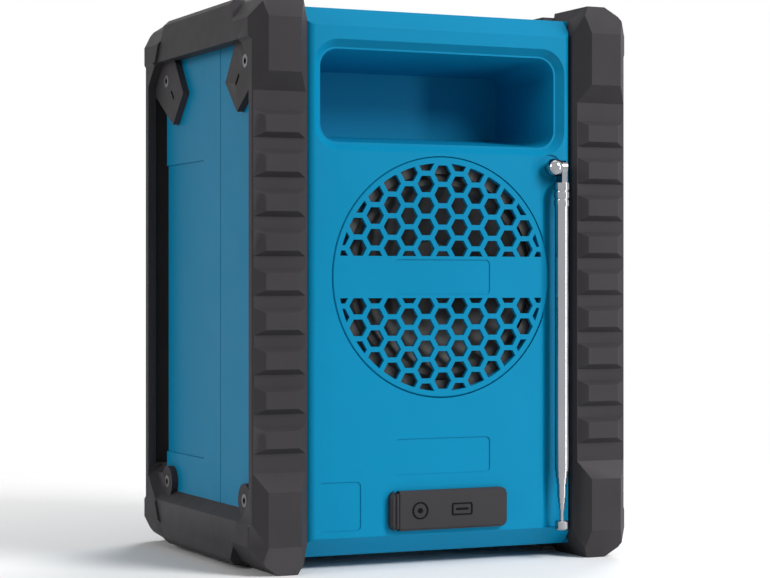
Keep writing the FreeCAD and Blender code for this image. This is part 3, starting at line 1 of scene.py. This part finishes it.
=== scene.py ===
"""The dressed jobsite radio: finishes, softened edges, marks, light and camera, round the fixed frame."""
import bmesh
import bpy
import json
import math
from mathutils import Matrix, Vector

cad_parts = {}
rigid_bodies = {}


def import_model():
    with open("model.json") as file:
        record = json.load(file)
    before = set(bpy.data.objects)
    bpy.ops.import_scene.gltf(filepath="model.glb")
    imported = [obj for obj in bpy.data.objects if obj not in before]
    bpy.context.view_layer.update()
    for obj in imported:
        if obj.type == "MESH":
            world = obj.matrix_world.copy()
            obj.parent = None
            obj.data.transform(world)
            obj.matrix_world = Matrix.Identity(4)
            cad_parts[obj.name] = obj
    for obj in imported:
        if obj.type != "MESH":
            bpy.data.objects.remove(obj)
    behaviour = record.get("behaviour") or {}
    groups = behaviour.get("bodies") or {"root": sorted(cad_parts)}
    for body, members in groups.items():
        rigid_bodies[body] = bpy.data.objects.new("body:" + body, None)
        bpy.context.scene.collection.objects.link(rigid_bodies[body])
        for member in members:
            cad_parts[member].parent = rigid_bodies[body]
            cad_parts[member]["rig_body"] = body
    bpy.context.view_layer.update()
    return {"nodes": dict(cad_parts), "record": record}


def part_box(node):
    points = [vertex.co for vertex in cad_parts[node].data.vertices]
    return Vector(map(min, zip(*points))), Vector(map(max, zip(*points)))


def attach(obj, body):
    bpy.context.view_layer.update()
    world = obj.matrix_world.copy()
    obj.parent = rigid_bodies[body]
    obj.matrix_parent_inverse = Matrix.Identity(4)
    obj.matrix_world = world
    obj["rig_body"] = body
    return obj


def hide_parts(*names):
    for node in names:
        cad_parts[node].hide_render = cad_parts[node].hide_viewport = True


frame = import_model()
NODES = frame["nodes"]
SLOTS = {entry["node"]: entry["material_slot"] for entry in frame["record"]["subparts"]}
MM = 0.001
BUTTONS = ("power", "mode", "seek_down", "seek_up", "preset", "light")
ANTENNA_NODES = ("antenna_base", "antenna_ferrule", "antenna_tube", "antenna_tip", "antenna_pivot")

# Camera, from the photograph's perspective: metres, millimetres of lens, and pixels
CAMERA_PLACE = (0.40441, 0.88603, 0.1178)
CAMERA_LOOK = (-0.41787, -0.90851, 0.0)
LENS = 101.78
SENSOR = 36.0
PICTURE_WIDTH = 770
HORIZON_ABOVE_MIDDLE = 4.26

# Lamps: name, place, target, width, watts, and the height of a strip
BODY_MIDDLE = (0, 0, 0.12)
LAMPS = (
    ("key", (-0.75, 1.3, 1.15), BODY_MIDDLE, 0.8, 27.0, None),
    ("strip", (-0.95, 1.0, 0.2), BODY_MIDDLE, 0.14, 4.5, 0.9),
    ("side", (1.5, 0.3, 0.75), BODY_MIDDLE, 0.7, 7.0, None),
    ("front", (-0.9, -1.1, 0.9), BODY_MIDDLE, 0.9, 16.0, None),
    ("top", (0.0, 0.1, 1.5), (0, 0, 0.1), 0.8, 1.5, None),
)
AMBIENT_STRENGTH = 0.22
BACKGROUND_STRENGTH = 1.0
WHITE = (1, 1, 1, 1)
BLACK = (0, 0, 0, 1)

# Floor, in metres: it fades out with the distance from the middle
FLOOR_HALF = 1.6
FLOOR_COLOUR = (0.93, 0.93, 0.93, 1)
FLOOR_ROUGHNESS = 0.9
FADE_START = 0.09
FADE_END = 0.62

# Colours, as eight-bit display values
BLUE = (6, 129, 171)
BUMPER_GREY = (57, 55, 57)
COVER_GREY = (42, 40, 43)
MARK_GREY = (17, 16, 17)
KEY_GREY = (60, 60, 63)
PANEL_BLACK = (30, 30, 32)
KNOB_BLACK = (38, 38, 41)
SCREW_STEEL = (92, 92, 95)
SOCKET_STEEL = (178, 180, 182)
CHROME = (158, 159, 163)
CONE_BLACK = (16, 16, 18)
INNER_BLACK = (12, 12, 13)
BOARD_GREEN = (22, 92, 52)
LCD_BACK = (148, 168, 140)
LCD_INK = (34, 44, 38)
PRINT_WHITE = (214, 216, 218)
WRAP_BLUE = (34, 74, 130)

# Where a slow drift of colour starts and ends on its noise
DRIFT_LOW = 0.3
DRIFT_HIGH = 0.7

# Depths of fine surface texture, in metres
MOULD_GRAIN_DEPTH = 0.00012
SCUFF_DEPTH = 0.00015
METAL_MARK_DEPTH = 0.00005
DISPLAY_GRAIN_DEPTH = 0.00003

# Softened edges: points of a CAD copy closer than this, in metres, become one, and its shading
# breaks where an edge turns by more than this, in degrees
MERGE_DISTANCE = 2e-6
SHARP_ANGLE = 40

# Plain signs and print, in millimetres: how deep they are set, and how thick they are
COVER_SIGN_SINK = 0.05
COVER_SIGN_THICK = 0.35
COVER_SIGN_LINE = 0.55
KEY_SIGN_SINK = 0.05
KEY_SIGN_THICK = 0.12
SKIN_THICK = 0.05
DISPLAY_INK_SINK = 0.08
DISPLAY_INK_THICK = 0.1
SCALE_SINK = 0.04
SCALE_THICK = 0.1

# Digits on the display: width, height and line, in millimetres
LARGE_DIGIT = (5.6, 12.0, 1.1)
SMALL_DIGIT = (2.0, 3.8, 0.45)
BAR_GAP = 1.4
SEGMENTS = {
    "0": "abcdef",
    "1": "bc",
    "2": "abged",
    "4": "bcfg",
    "5": "acdfg",
    "8": "abcdefg",
    "9": "abcdfg",
}


def linear(colour):
    """An eight-bit display colour as linear light, by the sRGB curve."""
    values = []
    for part in colour:
        c = part / 255
        values.append(c / 12.92 if c <= 0.04045 else ((c + 0.055) / 1.055) ** 2.4)
    return (*values, 1.0)


def shade(colour, factor):
    """A display colour as linear light, made lighter or darker."""
    r, g, b, a = linear(colour)
    return (min(r * factor, 1), min(g * factor, 1), min(b * factor, 1), a)


class Nodes:
    """A material's node tree, with short calls for the nodes used here."""

    def __init__(self, name):
        self.material = bpy.data.materials.new(name)
        self.material.use_nodes = True
        self.tree = self.material.node_tree
        self.shader = self.tree.nodes["Principled BSDF"]
        self.place = self.tree.nodes.new("ShaderNodeTexCoord").outputs["Object"]

    def new(self, kind, **settings):
        node = self.tree.nodes.new(kind)
        for key, value in settings.items():
            setattr(node, key, value)
        return node

    def link(self, output, target):
        self.tree.links.new(output, target)

    def set(self, name, value):
        self.shader.inputs[name].default_value = value

    def noise(self, scale, detail=3.0, roughness=0.55):
        node = self.new("ShaderNodeTexNoise")
        node.inputs["Scale"].default_value = scale
        node.inputs["Detail"].default_value = detail
        node.inputs["Roughness"].default_value = roughness
        self.link(self.place, node.inputs["Vector"])
        return node.outputs["Fac"]

    def ramp(self, source, low, high, first, second):
        node = self.new("ShaderNodeValToRGB")
        start, end = node.color_ramp.elements
        start.position = low
        start.color = first
        end.position = high
        end.color = second
        self.link(source, node.inputs["Fac"])
        return node.outputs["Color"]

    def drift(self, colour, scale, darker, lighter):
        """The base colour drifts slowly between two shades."""
        first, second = shade(colour, darker), shade(colour, lighter)
        shades = self.ramp(self.noise(scale), DRIFT_LOW, DRIFT_HIGH, first, second)
        self.link(shades, self.shader.inputs["Base Color"])

    def gloss(self, source, low, high):
        """The roughness varies between two limits, after a 0 to 1 source."""
        node = self.new("ShaderNodeMapRange")
        node.inputs["To Min"].default_value = low
        node.inputs["To Max"].default_value = high
        self.link(source, node.inputs["Value"])
        self.link(node.outputs["Result"], self.shader.inputs["Roughness"])

    def bump(self, source, strength, distance, under=None):
        node = self.new("ShaderNodeBump")
        node.inputs["Strength"].default_value = strength
        node.inputs["Distance"].default_value = distance
        self.link(source, node.inputs["Height"])
        if under is not None:
            self.link(under, node.inputs["Normal"])
        self.link(node.outputs["Normal"], self.shader.inputs["Normal"])
        return node.outputs["Normal"]


def moulded(name, colour, rough, grain, grain_scale, variation=0.06, specular=0.5):
    """Moulded plastic or rubber: fine texture, slow colour drift and uneven gloss."""
    m = Nodes(name)
    m.drift(colour, 18.0, 1 - variation, 1 + variation)
    m.gloss(m.noise(60.0, detail=4.0), rough - 0.06, rough + 0.06)
    m.set("Specular IOR Level", specular)
    m.bump(m.noise(grain_scale, detail=2.0, roughness=0.6), grain, MOULD_GRAIN_DEPTH)
    return m.material


def worn_rubber(name, colour, rough, specular):
    """Bumper rubber: a fine leathery texture with faint scuffs and paler edges."""
    m = Nodes(name)
    base = m.ramp(m.noise(25.0, detail=4.0), DRIFT_LOW, 0.72, shade(colour, 0.9), shade(colour, 1.12))
    geometry = m.new("ShaderNodeNewGeometry")
    edge = m.ramp(geometry.outputs["Pointiness"], 0.52, 0.6, BLACK, WHITE)
    mix = m.new("ShaderNodeMix", data_type="RGBA")
    first_colour, second_colour, mixed_colour = mix.inputs[6], mix.inputs[7], mix.outputs[2]
    m.link(edge, mix.inputs["Factor"])
    m.link(base, first_colour)
    second_colour.default_value = shade(colour, 1.6)
    m.link(mixed_colour, m.shader.inputs["Base Color"])
    m.gloss(m.noise(140.0, detail=5.0), rough - 0.08, rough + 0.08)
    m.set("Specular IOR Level", specular)
    fine = m.bump(m.noise(2600.0, detail=2.0), 0.35, MOULD_GRAIN_DEPTH)
    m.bump(m.noise(500.0), 0.25, SCUFF_DEPTH, fine)
    return m.material


def metal(name, colour, rough, streak=0.0):
    """Polished or brushed metal with fine marks."""
    m = Nodes(name)
    m.set("Metallic", 1.0)
    m.drift(colour, 40.0, 0.94, 1.03)
    m.gloss(m.noise(300.0, detail=4.0), rough * 0.6, rough * 1.5)
    m.bump(m.noise(900.0, detail=2.0), 0.04 + streak, METAL_MARK_DEPTH)
    return m.material


def glass(name):
    """Clear glass with slightly uneven gloss."""
    m = Nodes(name)
    m.set("Transmission Weight", 1.0)
    m.set("IOR", 1.46)
    m.set("Base Color", (0.92, 0.96, 0.97, 1))
    m.gloss(m.noise(200.0), 0.02, 0.07)
    return m.material


def lcd_face(name):
    """A reflective display with a faint grain."""
    m = Nodes(name)
    m.drift(LCD_BACK, 30.0, 0.94, 1.04)
    m.set("Roughness", 0.35)
    m.bump(m.noise(3000.0), 0.05, DISPLAY_GRAIN_DEPTH)
    return m.material


MATERIAL = {
    "blue_shell": moulded("blue_plastic", BLUE, rough=0.42, grain=0.16, grain_scale=3200.0,
                          variation=0.035, specular=0.07),
    "bumper": worn_rubber("bumper_rubber", BUMPER_GREY, rough=0.55, specular=0.09),
    "seal_rubber": moulded("seal_rubber", INNER_BLACK, rough=0.7, grain=0.2, grain_scale=2000.0),
    "screw_steel": metal("black_screw", SCREW_STEEL, rough=0.3, streak=0.1),
    "speaker_frame": moulded("black_paint", CONE_BLACK, rough=0.5, grain=0.1, grain_scale=1500.0),
    "cone": moulded("cone", CONE_BLACK, rough=0.6, grain=0.4, grain_scale=900.0, variation=0.2),
    "antenna_chrome": metal("chrome", CHROME, rough=0.06),
    "cover_rubber": moulded("cover_rubber", COVER_GREY, rough=0.5, grain=0.25, grain_scale=2600.0,
                            specular=0.25),
    "black_plastic": moulded("panel_plastic", PANEL_BLACK, rough=0.42, grain=0.15, grain_scale=3000.0),
    "socket_metal": metal("socket_metal", SOCKET_STEEL, rough=0.25, streak=0.08),
    "board": moulded("circuit_board", BOARD_GREEN, rough=0.35, grain=0.1, grain_scale=400.0,
                     variation=0.15),
    "lens": glass("display_glass"),
    "display": lcd_face("display_face"),
    "key_rubber": moulded("key_rubber", KEY_GREY, rough=0.6, grain=0.2, grain_scale=2600.0),
    "knob": moulded("knob_plastic", KNOB_BLACK, rough=0.38, grain=0.15, grain_scale=2400.0),
    "battery_wrap": moulded("battery_wrap", WRAP_BLUE, rough=0.3, grain=0.1, grain_scale=300.0),
}
MARK = moulded("moulded_mark", MARK_GREY, rough=0.6, grain=0.1, grain_scale=2000.0, specular=0.05)
PRINT = moulded("white_print", PRINT_WHITE, rough=0.5, grain=0.05, grain_scale=1500.0)
INK = moulded("display_ink", LCD_INK, rough=0.5, grain=0.05, grain_scale=1500.0)


def finish_nodes():
    """Every CAD node gets its slot's finish."""
    for name, obj in NODES.items():
        obj.data.materials.clear()
        obj.data.materials.append(MATERIAL[SLOTS[name]])


def new_object(name, mesh, body, material):
    """A piece of the scene that rides on a body and has one material."""
    obj = bpy.data.objects.new(name, mesh)
    bpy.context.scene.collection.objects.link(obj)
    mesh.materials.clear()
    mesh.materials.append(material)
    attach(obj, body)
    return obj


def soften(node, width, segments=2, angle=32, flat=0.6):
    """A copy of a CAD node whose edges are rounded over, in the node's place.

    Edges that turn more than angle are rounded. Faces that meet within flat degrees become one first,
    unless flat is 0.
    """
    source = NODES[node]
    mesh = source.data.copy()
    bm = bmesh.new()
    bm.from_mesh(mesh)
    bmesh.ops.remove_doubles(bm, verts=bm.verts, dist=MERGE_DISTANCE)
    if flat:
        bmesh.ops.dissolve_limit(bm, angle_limit=math.radians(flat), verts=bm.verts, edges=bm.edges)
        bmesh.ops.triangulate(bm, faces=bm.faces, ngon_method="EAR_CLIP")
    bm.to_mesh(mesh)
    bm.free()
    slot = SLOTS[node]
    obj = new_object(node + "_dressed", mesh, source["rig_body"], MATERIAL[slot])
    mesh.shade_smooth()
    mesh.set_sharp_from_angle(angle=math.radians(SHARP_ANGLE))
    bevel = obj.modifiers.new("edges", "BEVEL")
    bevel.width = width
    bevel.segments = segments
    bevel.limit_method = "ANGLE"
    bevel.angle_limit = math.radians(angle)
    bevel.use_clamp_overlap = True
    bevel.harden_normals = False
    bevel.miter_outer = "MITER_ARC"
    normals = obj.modifiers.new("normals", "WEIGHTED_NORMAL")
    normals.keep_sharp = False
    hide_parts(node)


def shape(name, loops, y, thick, body, material):
    """Flat outlines in millimetres (x, z), raised from a face across Y."""
    bm = bmesh.new()
    for loop in loops:
        low = [bm.verts.new((x * MM, y * MM, z * MM)) for x, z in loop]
        high = [bm.verts.new((x * MM, (y + thick) * MM, z * MM)) for x, z in loop]
        bm.faces.new(low)
        bm.faces.new(list(reversed(high)))
        for index in range(len(loop)):
            after = (index + 1) % len(loop)
            bm.faces.new((low[index], high[index], high[after], low[after]))
    bmesh.ops.recalc_face_normals(bm, faces=bm.faces)
    mesh = bpy.data.meshes.new(name)
    bm.to_mesh(mesh)
    bm.free()
    new_object(name, mesh, body, material)


def arc_band(cx, cz, radius, width, start, end, steps=32):
    """A band along an arc, as one outline."""
    outer = []
    inner = []
    inner_radius = radius - width
    for step in range(steps + 1):
        angle = math.radians(start + (end - start) * step / steps)
        outer.append((cx + radius * math.cos(angle), cz + radius * math.sin(angle)))
        inner.append((cx + inner_radius * math.cos(angle), cz + inner_radius * math.sin(angle)))
    return outer + inner[::-1]


def disc(cx, cz, radius, steps=24):
    """A full disc."""
    angles = [2 * math.pi * k / steps for k in range(steps)]
    return [(cx + radius * math.cos(angle), cz + radius * math.sin(angle)) for angle in angles]


def bar(cx, cz, width, height):
    """A rectangle round its middle."""
    left, right = cx - width / 2, cx + width / 2
    bottom, top = cz - height / 2, cz + height / 2
    return [(left, bottom), (right, bottom), (right, top), (left, top)]


def ring(cx, cz, radius, width):
    """A ring, as two half bands."""
    return [arc_band(cx, cz, radius, width, 0, 180), arc_band(cx, cz, radius, width, 180, 360)]


def middle(low, high):
    """The middle of a box seen along Y: its x and z, in millimetres."""
    return (low.x + high.x) / 2 / MM, (low.z + high.z) / 2 / MM


def cover_marks():
    """Raised signs on the cover: a round socket, and a wide one."""
    low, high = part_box("port_cover")
    z = middle(low, high)[1]
    y = high.y / MM - COVER_SIGN_SINK
    line = COVER_SIGN_LINE

    round_x, ring_radius, dot_radius = 12.0, 3.6, 1.1
    loops = ring(round_x, z, ring_radius, line) + [disc(round_x, z, dot_radius)]
    shape("cover_sign_round", loops, y, COVER_SIGN_THICK, "port_cover", MARK)

    wide_x, width, height = -7.5, 9.0, 4.6
    tongue_width, tongue_height = width * 0.62, line * 1.6
    loops = [
        bar(wide_x, z + height / 2, width, line),
        bar(wide_x, z - height / 2, width, line),
        bar(wide_x - width / 2, z, line, height - line),
        bar(wide_x + width / 2, z, line, height - line),
        bar(wide_x, z, tongue_width, tongue_height),
    ]
    shape("cover_sign_wide", loops, y, COVER_SIGN_THICK, "port_cover", MARK)


def cover_skin():
    """The thin rubber skin on the panel behind the cover's hinge."""
    under_flap, edge = 2.6, 0.8
    low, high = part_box("port_cover_anchor")
    flap_low, flap_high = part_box("port_cover")
    left = flap_high.x / MM - under_flap
    right = middle(low, high)[0]
    bottom = flap_low.z / MM + edge
    top = flap_high.z / MM - edge
    loop = [(left, bottom), (right, bottom), (right, top), (left, top)]
    shape("cover_skin", [loop], low.y / MM, SKIN_THICK, "radio", MATERIAL["cover_rubber"])


def digit_bars(character, x, z, size):
    """The bars of one seven-segment digit, x to the right when seen from the front."""
    width, height, line = size
    half = height / 2
    upright = half - line * BAR_GAP
    places = {
        "a": bar(x, z + half, width, line),
        "g": bar(x, z, width, line),
        "d": bar(x, z - half, width, line),
        "f": bar(x - width / 2, z + half / 2, line, upright),
        "b": bar(x + width / 2, z + half / 2, line, upright),
        "e": bar(x - width / 2, z - half / 2, line, upright),
        "c": bar(x + width / 2, z - half / 2, line, upright),
    }
    return [places[name] for name in SEGMENTS[character]]


def display_digits():
    """A tuned frequency, a clock and a level bar on the display."""
    low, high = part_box("lcd_module")
    cx, cz = middle(low, high)
    y = low.y / MM - DISPLAY_INK_SINK
    loops = []

    figure_z, figure_pitch = cz - 1.5, 9.5
    for index, character in enumerate("98"):
        loops += digit_bars(character, cx - 11 + index * figure_pitch, figure_z, LARGE_DIGIT)
    point = 1.3
    loops.append(bar(cx + 4.2, cz - 7.4, point, point))
    loops += digit_bars("5", cx + 10.0, figure_z, LARGE_DIGIT)

    clock_pitch, colon_gap, dot = 3.6, 1.4, 0.5
    for index, character in enumerate("1240"):
        x = cx + 8.0 + index * clock_pitch + (colon_gap if index > 1 else 0)
        loops += digit_bars(character, x, cz + 10.2, SMALL_DIGIT)
    loops += [bar(cx + 13.1, cz + 11.1, dot, dot), bar(cx + 13.1, cz + 9.3, dot, dot)]

    level_pitch, level_rise, level_width, level_height, level_growth = 1.7, 0.45, 1.1, 1.4, 0.9
    for index in range(5):
        x = cx - 22 + index * level_pitch
        z = cz + 8.6 + index * level_rise
        loops.append(bar(x, z, level_width, level_height + index * level_growth))
    shape("display_figures", loops, y, DISPLAY_INK_THICK, "radio", INK)


def key_signs(x, z):
    """Every key's plain sign, as it would be at one place."""
    line, thin, thick = 0.45, 0.4, 0.5
    arrow = [(x + 0.4, z - 1.4), (x + 0.4, z + 1.4), (x - 1.7, z)]
    mirrored = [(2 * x - a, b) for a, b in reversed(arrow)]
    stop, stop_height = 2.1, 2.8
    ray, ray_length = 1.8, 0.8
    return {
        "power": [arc_band(x, z, 1.7, thin, 120, 420), bar(x, z + 1.2, thin, 1.8)],
        "mode": [bar(x, z + rise, 3.4, line) for rise in (1.0, 0, -1.0)],
        "seek_down": [arrow, bar(x - stop, z, line, stop_height)],
        "seek_up": [mirrored, bar(x + stop, z, line, stop_height)],
        "preset": [bar(x, z, thick, 3.0), bar(x, z, 3.0, thick)],
        "light": ring(x, z, 1.0, thin) + [
            bar(x, z + ray, thin, ray_length),
            bar(x, z - ray, thin, ray_length),
            bar(x + ray, z, ray_length, thin),
            bar(x - ray, z, ray_length, thin),
        ],
    }


def button_marks():
    """A plain sign on each key."""
    for name in BUTTONS:
        node = "button_" + name
        low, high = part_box(node)
        loops = key_signs(*middle(low, high))[name]
        shape(node + "_sign", loops, low.y / MM - KEY_SIGN_SINK, KEY_SIGN_THICK, node, PRINT)


def knob_pointer():
    """A white line on the knob's face."""
    out, width, length = 6.2, 1.1, 5.0
    inset, thick = 0.5, 0.2
    low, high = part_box("control_knob")
    x, z = middle(low, high)
    shape("knob_pointer", [bar(x, z + out, width, length)], low.y / MM + inset, thick, "knob", PRINT)


def knob_scale():
    """Plain tick marks round the knob on the panel."""
    ticks, first_angle, turn, long_every = 11, 225, 27, 5
    inner, short_outer, long_outer, half = 14.6, 16.2, 16.8, 0.22
    low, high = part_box("control_knob")
    x, z = middle(low, high)
    panel_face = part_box("control_panel")[0].y / MM
    loops = []
    for step in range(ticks):
        angle = math.radians(first_angle - step * turn)
        c, s = math.cos(angle), math.sin(angle)
        outer = short_outer if step % long_every else long_outer
        loops.append([
            (x + inner * c - half * s, z + inner * s + half * c),
            (x + inner * c + half * s, z + inner * s - half * c),
            (x + outer * c + half * s, z + outer * s - half * c),
            (x + outer * c - half * s, z + outer * s + half * c),
        ])
    shape("knob_scale", loops, panel_face - SCALE_SINK, SCALE_THICK, "radio", PRINT)


def camera():
    """The photograph's camera: level, with the horizon a little above the middle."""
    data = bpy.data.cameras.new("camera")
    data.lens = LENS
    data.sensor_width = SENSOR
    data.shift_y = -HORIZON_ABOVE_MIDDLE / PICTURE_WIDTH
    obj = bpy.data.objects.new("camera", data)
    bpy.context.scene.collection.objects.link(obj)
    obj.location = CAMERA_PLACE
    obj.rotation_euler = Vector(CAMERA_LOOK).to_track_quat("-Z", "Y").to_euler()
    bpy.context.scene.camera = obj


def lamp(name, place, target, size, energy, height):
    """A soft lamp, round unless it is given a height."""
    data = bpy.data.lights.new(name, "AREA")
    data.shape = "RECTANGLE" if height else "DISK"
    data.size = size
    if height:
        data.size_y = height
    data.energy = energy
    obj = bpy.data.objects.new(name, data)
    bpy.context.scene.collection.objects.link(obj)
    obj.location = place
    obj.rotation_euler = (Vector(target) - Vector(place)).to_track_quat("-Z", "Y").to_euler()


def surround():
    """White to the camera and in reflections, and a dim white light on everything else."""
    world = bpy.data.worlds.new("studio")
    bpy.context.scene.world = world
    world.use_nodes = True
    tree = world.node_tree
    tree.nodes.clear()
    out = tree.nodes.new("ShaderNodeOutputWorld")
    mix = tree.nodes.new("ShaderNodeMixShader")
    path = tree.nodes.new("ShaderNodeLightPath")
    for strength, target in ((AMBIENT_STRENGTH, mix.inputs[1]), (BACKGROUND_STRENGTH, mix.inputs[2])):
        light = tree.nodes.new("ShaderNodeBackground")
        light.inputs["Color"].default_value = WHITE
        light.inputs["Strength"].default_value = strength
        tree.links.new(light.outputs[0], target)
    seen = path.outputs["Is Camera Ray"]
    for ray in ("Is Glossy Ray", "Is Transmission Ray"):
        either = tree.nodes.new("ShaderNodeMath")
        either.operation = "MAXIMUM"
        tree.links.new(seen, either.inputs[0])
        tree.links.new(path.outputs[ray], either.inputs[1])
        seen = either.outputs[0]
    tree.links.new(seen, mix.inputs["Fac"])
    tree.links.new(mix.outputs[0], out.inputs["Surface"])


def ground():
    """A pale floor that takes the shadow and fades into the surround."""
    half = FLOOR_HALF
    corners = [(-half, -half, 0), (half, -half, 0), (half, half, 0), (-half, half, 0)]
    mesh = bpy.data.meshes.new("floor")
    mesh.from_pydata(corners, [], [(0, 1, 2, 3)])
    floor = bpy.data.objects.new("floor", mesh)
    bpy.context.scene.collection.objects.link(floor)
    m = Nodes("floor")
    m.set("Base Color", FLOOR_COLOUR)
    m.set("Roughness", FLOOR_ROUGHNESS)
    length = m.new("ShaderNodeVectorMath", operation="LENGTH")
    m.link(m.place, length.inputs[0])
    fade = m.new("ShaderNodeMapRange", interpolation_type="SMOOTHSTEP")
    fade.inputs["From Min"].default_value = FADE_START
    fade.inputs["From Max"].default_value = FADE_END
    m.link(length.outputs["Value"], fade.inputs["Value"])
    clear = m.new("ShaderNodeBsdfTransparent")
    blend = m.new("ShaderNodeMixShader")
    m.link(fade.outputs["Result"], blend.inputs["Fac"])
    m.link(m.shader.outputs[0], blend.inputs[1])
    m.link(clear.outputs[0], blend.inputs[2])
    m.link(blend.outputs[0], m.tree.nodes["Material Output"].inputs["Surface"])
    mesh.materials.append(m.material)


def studio():
    """Plain soft light, a white surround, and a floor that fades into it."""
    surround()
    for name, place, target, size, energy, height in LAMPS:
        lamp(name, place, target, size, energy, height)
    ground()


def dress():
    """Finishes and softened edges, and then the marks on them."""
    finish_nodes()
    for side in ("left", "right"):
        soften("bumper_" + side, 0.0007, segments=3, angle=15, flat=0)
    soften("port_cover", 0.0006, segments=3)
    soften("port_cover_anchor", 0.0003)
    soften("control_knob", 0.0003)
    for name in BUTTONS:
        soften("button_" + name, 0.0005, segments=3)
    for node in ("rear_shell", "front_shell", "control_panel"):
        soften(node, 0.0004, flat=0)
    for node in ANTENNA_NODES:
        soften(node, 0.0002, angle=35, flat=0.05)
    cover_marks()
    cover_skin()
    display_digits()
    button_marks()
    knob_pointer()
    knob_scale()


camera()
studio()
dress()

scene = bpy.context.scene
scene.view_settings.view_transform = "Standard"
